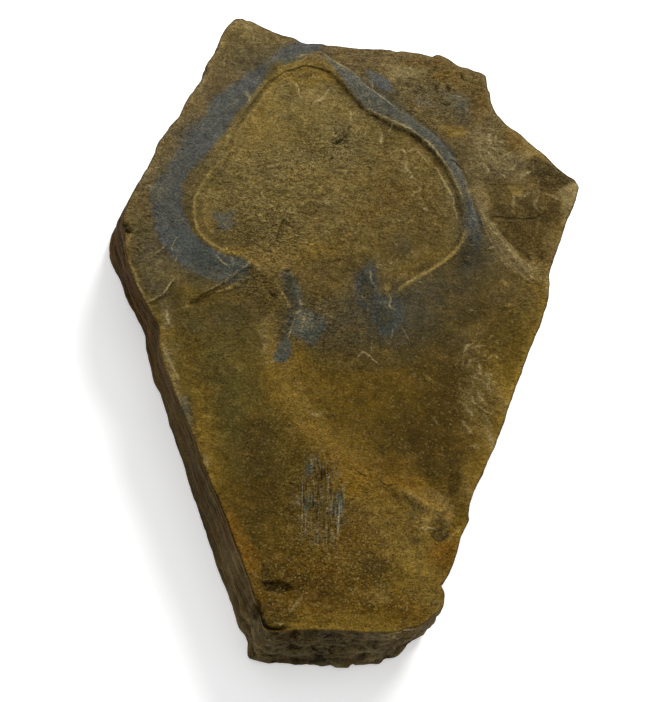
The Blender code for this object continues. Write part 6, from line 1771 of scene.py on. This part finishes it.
    # --- grain: light and dark at every scale
    crumple = g.attr("crumple")
    shade = g.band(patches, 0.30, 0.70, 0.86, 1.14, False)
    uneven = g.add(g.mul(crumple, 0.60), 0.40)
    shade = g.mul(shade, g.add(g.mul(g.mul(g.sub(medium, 0.5), 1.0), uneven), 1.0))
    shade = g.mul(shade, g.add(g.mul(g.mul(g.sub(small, 0.5), 0.66), uneven), 1.0))
    rubbed = g.add(g.mul(crumple, 0.5), 0.5)
    speckle = g.add(g.mul(g.sub(grain, 0.5), 1.4), g.mul(g.sub(dust, 0.5), 3.0))
    shade = g.mul(shade, g.add(g.mul(speckle, rubbed), 1.0))
    # painted light: the theca floor a little lighter, more so towards the head end
    shade = g.mul(shade, g.add(g.mul(g.mul(in_theca, high), 0.10), 1.0))
    fold = g.add(g.mul(g.sub(wrinkle2, 0.5), 0.8), g.mul(g.sub(wrinkle3, 0.5), 0.8))
    shade = g.mul(shade, g.add(g.mul(fold, crumple), 1.0))
    # lighter on the crests and darker in the hollows: painted light and shade by the relief
    shade = g.mul(shade, g.band(relief, -0.9, 0.9, 0.66, 1.34, False))
    colour = g.times(colour, shade)
    # painted glints: the lighter grains turn pale, not more orange, as a white sheen makes them
    paler = g.mul(g.band(shade, 1.05, 1.95, 0.0, 0.40, False), g.add(g.mul(high, 0.75), 0.10))
    colour = g.mix(g.mul(paler, plain), colour, rgb(170, 156, 118))

    # crinkles: thin creases that mostly lie across, with painted shade in each crease and a painted highlight on the
    # pale lip above it
    here = g.band(g.add(g.mul(medium, 0.45), g.mul(patches, 0.55)), 0.43, 0.53)
    there = g.band(g.add(g.mul(small, 0.4), g.mul(broad, 0.6)), 0.43, 0.52)
    crease = g.math("MAXIMUM", g.mul(ridge(wrinkle, 0.040, 0.482), here),
                    g.math("MAXIMUM", g.mul(ridge(wrinkle2, 0.060, 0.470), there),
                           g.mul(ridge(wrinkle3, 0.080, 0.460), 0.75)))
    lip_highlight = g.math("MAXIMUM", g.mul(ridge(wrinkle, 0.036, 0.526), here),
                 g.math("MAXIMUM", g.mul(ridge(wrinkle2, 0.060, 0.540), there),
                        g.mul(ridge(wrinkle3, 0.080, 0.550), 0.75)))
    # (the bluish stains are smoother than the rest)
    on_face = g.mul(g.mul(crumple, g.sub(1.0, wall)), g.add(g.mul(plain, 0.75), 0.25))
    crev = g.mul(crease, on_face)
    lip_highlight = g.mul(lip_highlight, on_face)
    # painted shade in the creases, then a painted highlight on their lips
    colour = g.mix(g.mul(crev, 0.74), colour, rgb(38, 30, 10))
    colour = g.mix(g.mul(lip_highlight, 0.40), colour, g.mix(high, rgb(158, 136, 76), rgb(172, 160, 120)))

    # sand: bright and dark specks
    _, tint = g.cells(0.30)
    speck = n.new("ShaderNodeSeparateColor")
    g.link(tint, speck.inputs[0])
    bright = g.mul(g.band(speck.outputs[0], 0.88, 0.96), g.add(g.mul(sandy, 0.55), 0.22))
    black = g.mul(g.band(speck.outputs[1], 0.87, 0.95), g.add(g.mul(sandy, 0.50), 0.26))
    colour = g.mix(g.mul(bright, 0.75), colour, rgb(168, 148, 98))
    colour = g.mix(g.mul(black, 0.80), colour, rgb(36, 26, 11))

    # painted shade along the broken edge of the face, all round
    rim_shade = g.mul(g.band(g.attr("edge_d"), 0.34, 0.06), g.sub(1.0, g.mul(wall, 0.5)))
    colour = g.mix(g.mul(rim_shade, 0.72), colour, rgb(48, 37, 24))

    # dark lines: painted shade inside open cracks and the corner crevice, and painted shadows below ledges
    crack_and_shadow = g.math("MAXIMUM", lines_of("dark", 1.8), g.band(g.attr("crevice"), 0.25, 0.8))
    colour = g.mix(g.mul(crack_and_shadow, 0.90), colour, rgb(24, 18, 9))

    g.link(colour, shader.inputs["Base Color"])

    # --- how it shines: smoother on worn crests and on the bluish stone
    rough = g.band(g.add(g.mul(small, 0.5), g.mul(grain, 0.5)), 0.30, 0.70, 0.46, 0.74, False)
    rough = g.sub(rough, g.mul(g.attr("m_blue"), 0.06))
    rough = g.add(rough, g.mul(wall, 0.10), clamp=True)
    g.link(rough, shader.inputs["Roughness"])
    shader.inputs["Specular IOR Level"].default_value = 0.025
    shader.inputs["Metallic"].default_value = 0.0
    shader.inputs["IOR"].default_value = 1.5

    # --- relief finer than the mesh
    height = g.add(g.mul(small, 0.16), g.mul(grain, 0.10))
    height = g.add(height, g.mul(g.add(g.mul(wrinkle, 0.42), g.add(g.mul(wrinkle2, 0.30), g.mul(wrinkle3, 0.18))), crumple))
    height = g.sub(height, g.mul(crev, 0.07))
    height = g.add(height, g.mul(g.mul(lines, 0.16), scratch))
    height = g.add(height, g.mul(g.add(g.mul(beds, 0.30), g.mul(beds3, 0.12)), wall))
    height = g.sub(height, g.mul(hole, 0.30))
    height = g.add(height, g.mul(crest, 0.06))
    height = g.add(height, g.mul(thread, 0.04))
    height = g.sub(height, g.mul(crack_and_shadow, 0.10))
    bump = n.new("ShaderNodeBump")
    bump.inputs["Strength"].default_value = 1.0
    bump.inputs["Distance"].default_value = 0.001
    g.link(height, bump.inputs["Height"])
    g.link(bump.outputs["Normal"], shader.inputs["Normal"])
    g.link(shader.outputs["BSDF"], out.inputs["Surface"])
    return material


slab = bpy.data.objects.new("slab_surface", build())
bpy.context.scene.collection.objects.link(slab)
slab.data.materials.append(stone())
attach(slab, "root")
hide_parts("fossil_slab")

# ====================================================================  the stage
floor_mesh = bpy.data.meshes.new("floor")
S = 3.0
floor_mesh.from_pydata([(-S, -S, 0), (S, -S, 0), (S, S, 0), (-S, S, 0)], [], [(0, 1, 2, 3)])
floor = bpy.data.objects.new("floor", floor_mesh)
bpy.context.scene.collection.objects.link(floor)
floor.location = (0, 0, -0.0002)
paper = bpy.data.materials.new("pale_floor")
paper.use_nodes = True
p = paper.node_tree.nodes["Principled BSDF"]
p.inputs["Base Color"].default_value = (0.93, 0.93, 0.93, 1)
p.inputs["Roughness"].default_value = 0.9
p.inputs["Specular IOR Level"].default_value = 0.1
p.inputs["Emission Color"].default_value = (1, 1, 1, 1)
p.inputs["Emission Strength"].default_value = 0.38
floor_mesh.materials.append(paper)


def area_light(name, place, aim, size, power, colour=(1, 1, 1)):
    data = bpy.data.lights.new(name, "AREA")
    data.shape = "DISK"
    data.size = size
    data.energy = power
    data.color = colour
    lamp = bpy.data.objects.new(name, data)
    lamp.location = place
    lamp.rotation_euler = (Vector(place) - Vector(aim)).to_track_quat("Z", "Y").to_euler()
    bpy.context.scene.collection.objects.link(lamp)
    return lamp


area_light("key", (0.20, 0.45, 0.60), (0, 0, 0.01), 0.34, 4.9, (1.0, 0.99, 0.97))
area_light("overhead", (-0.15, 0.1, 1.3), (0, 0, 0), 1.1, 5.0, (0.98, 0.99, 1.0))
area_light("front", (-0.7, -0.9, 0.9), (0, 0, 0.01), 0.7, 1.5)

world = bpy.data.worlds.new("studio")
bpy.context.scene.world = world
world.use_nodes = True
world.node_tree.nodes["Background"].inputs[0].default_value = (1.0, 1.0, 1.0, 1)
world.node_tree.nodes["Background"].inputs[1].default_value = 0.22

camera_data = bpy.data.cameras.new("camera")
camera = bpy.data.objects.new("camera", camera_data)
bpy.context.scene.collection.objects.link(camera)
camera_data.sensor_fit = "VERTICAL"
camera_data.sensor_height = 36.0
camera_data.sensor_width = 36.0
camera_data.lens = 36.0 * FOCAL_PX / FRAME_H
camera_data.clip_start = 0.01
camera_data.clip_end = 20.0
turn = Matrix((right_axis, up_axis, back_axis)).transposed()
camera.matrix_world = Matrix.Translation(Vector(EYE * 0.001)) @ turn.to_4x4()
bpy.context.scene.camera = camera

scene = bpy.context.scene
scene.view_settings.view_transform = "Standard"
scene.view_settings.look = "None"
scene.view_settings.exposure = 0.0
scene.view_settings.gamma = 1.0
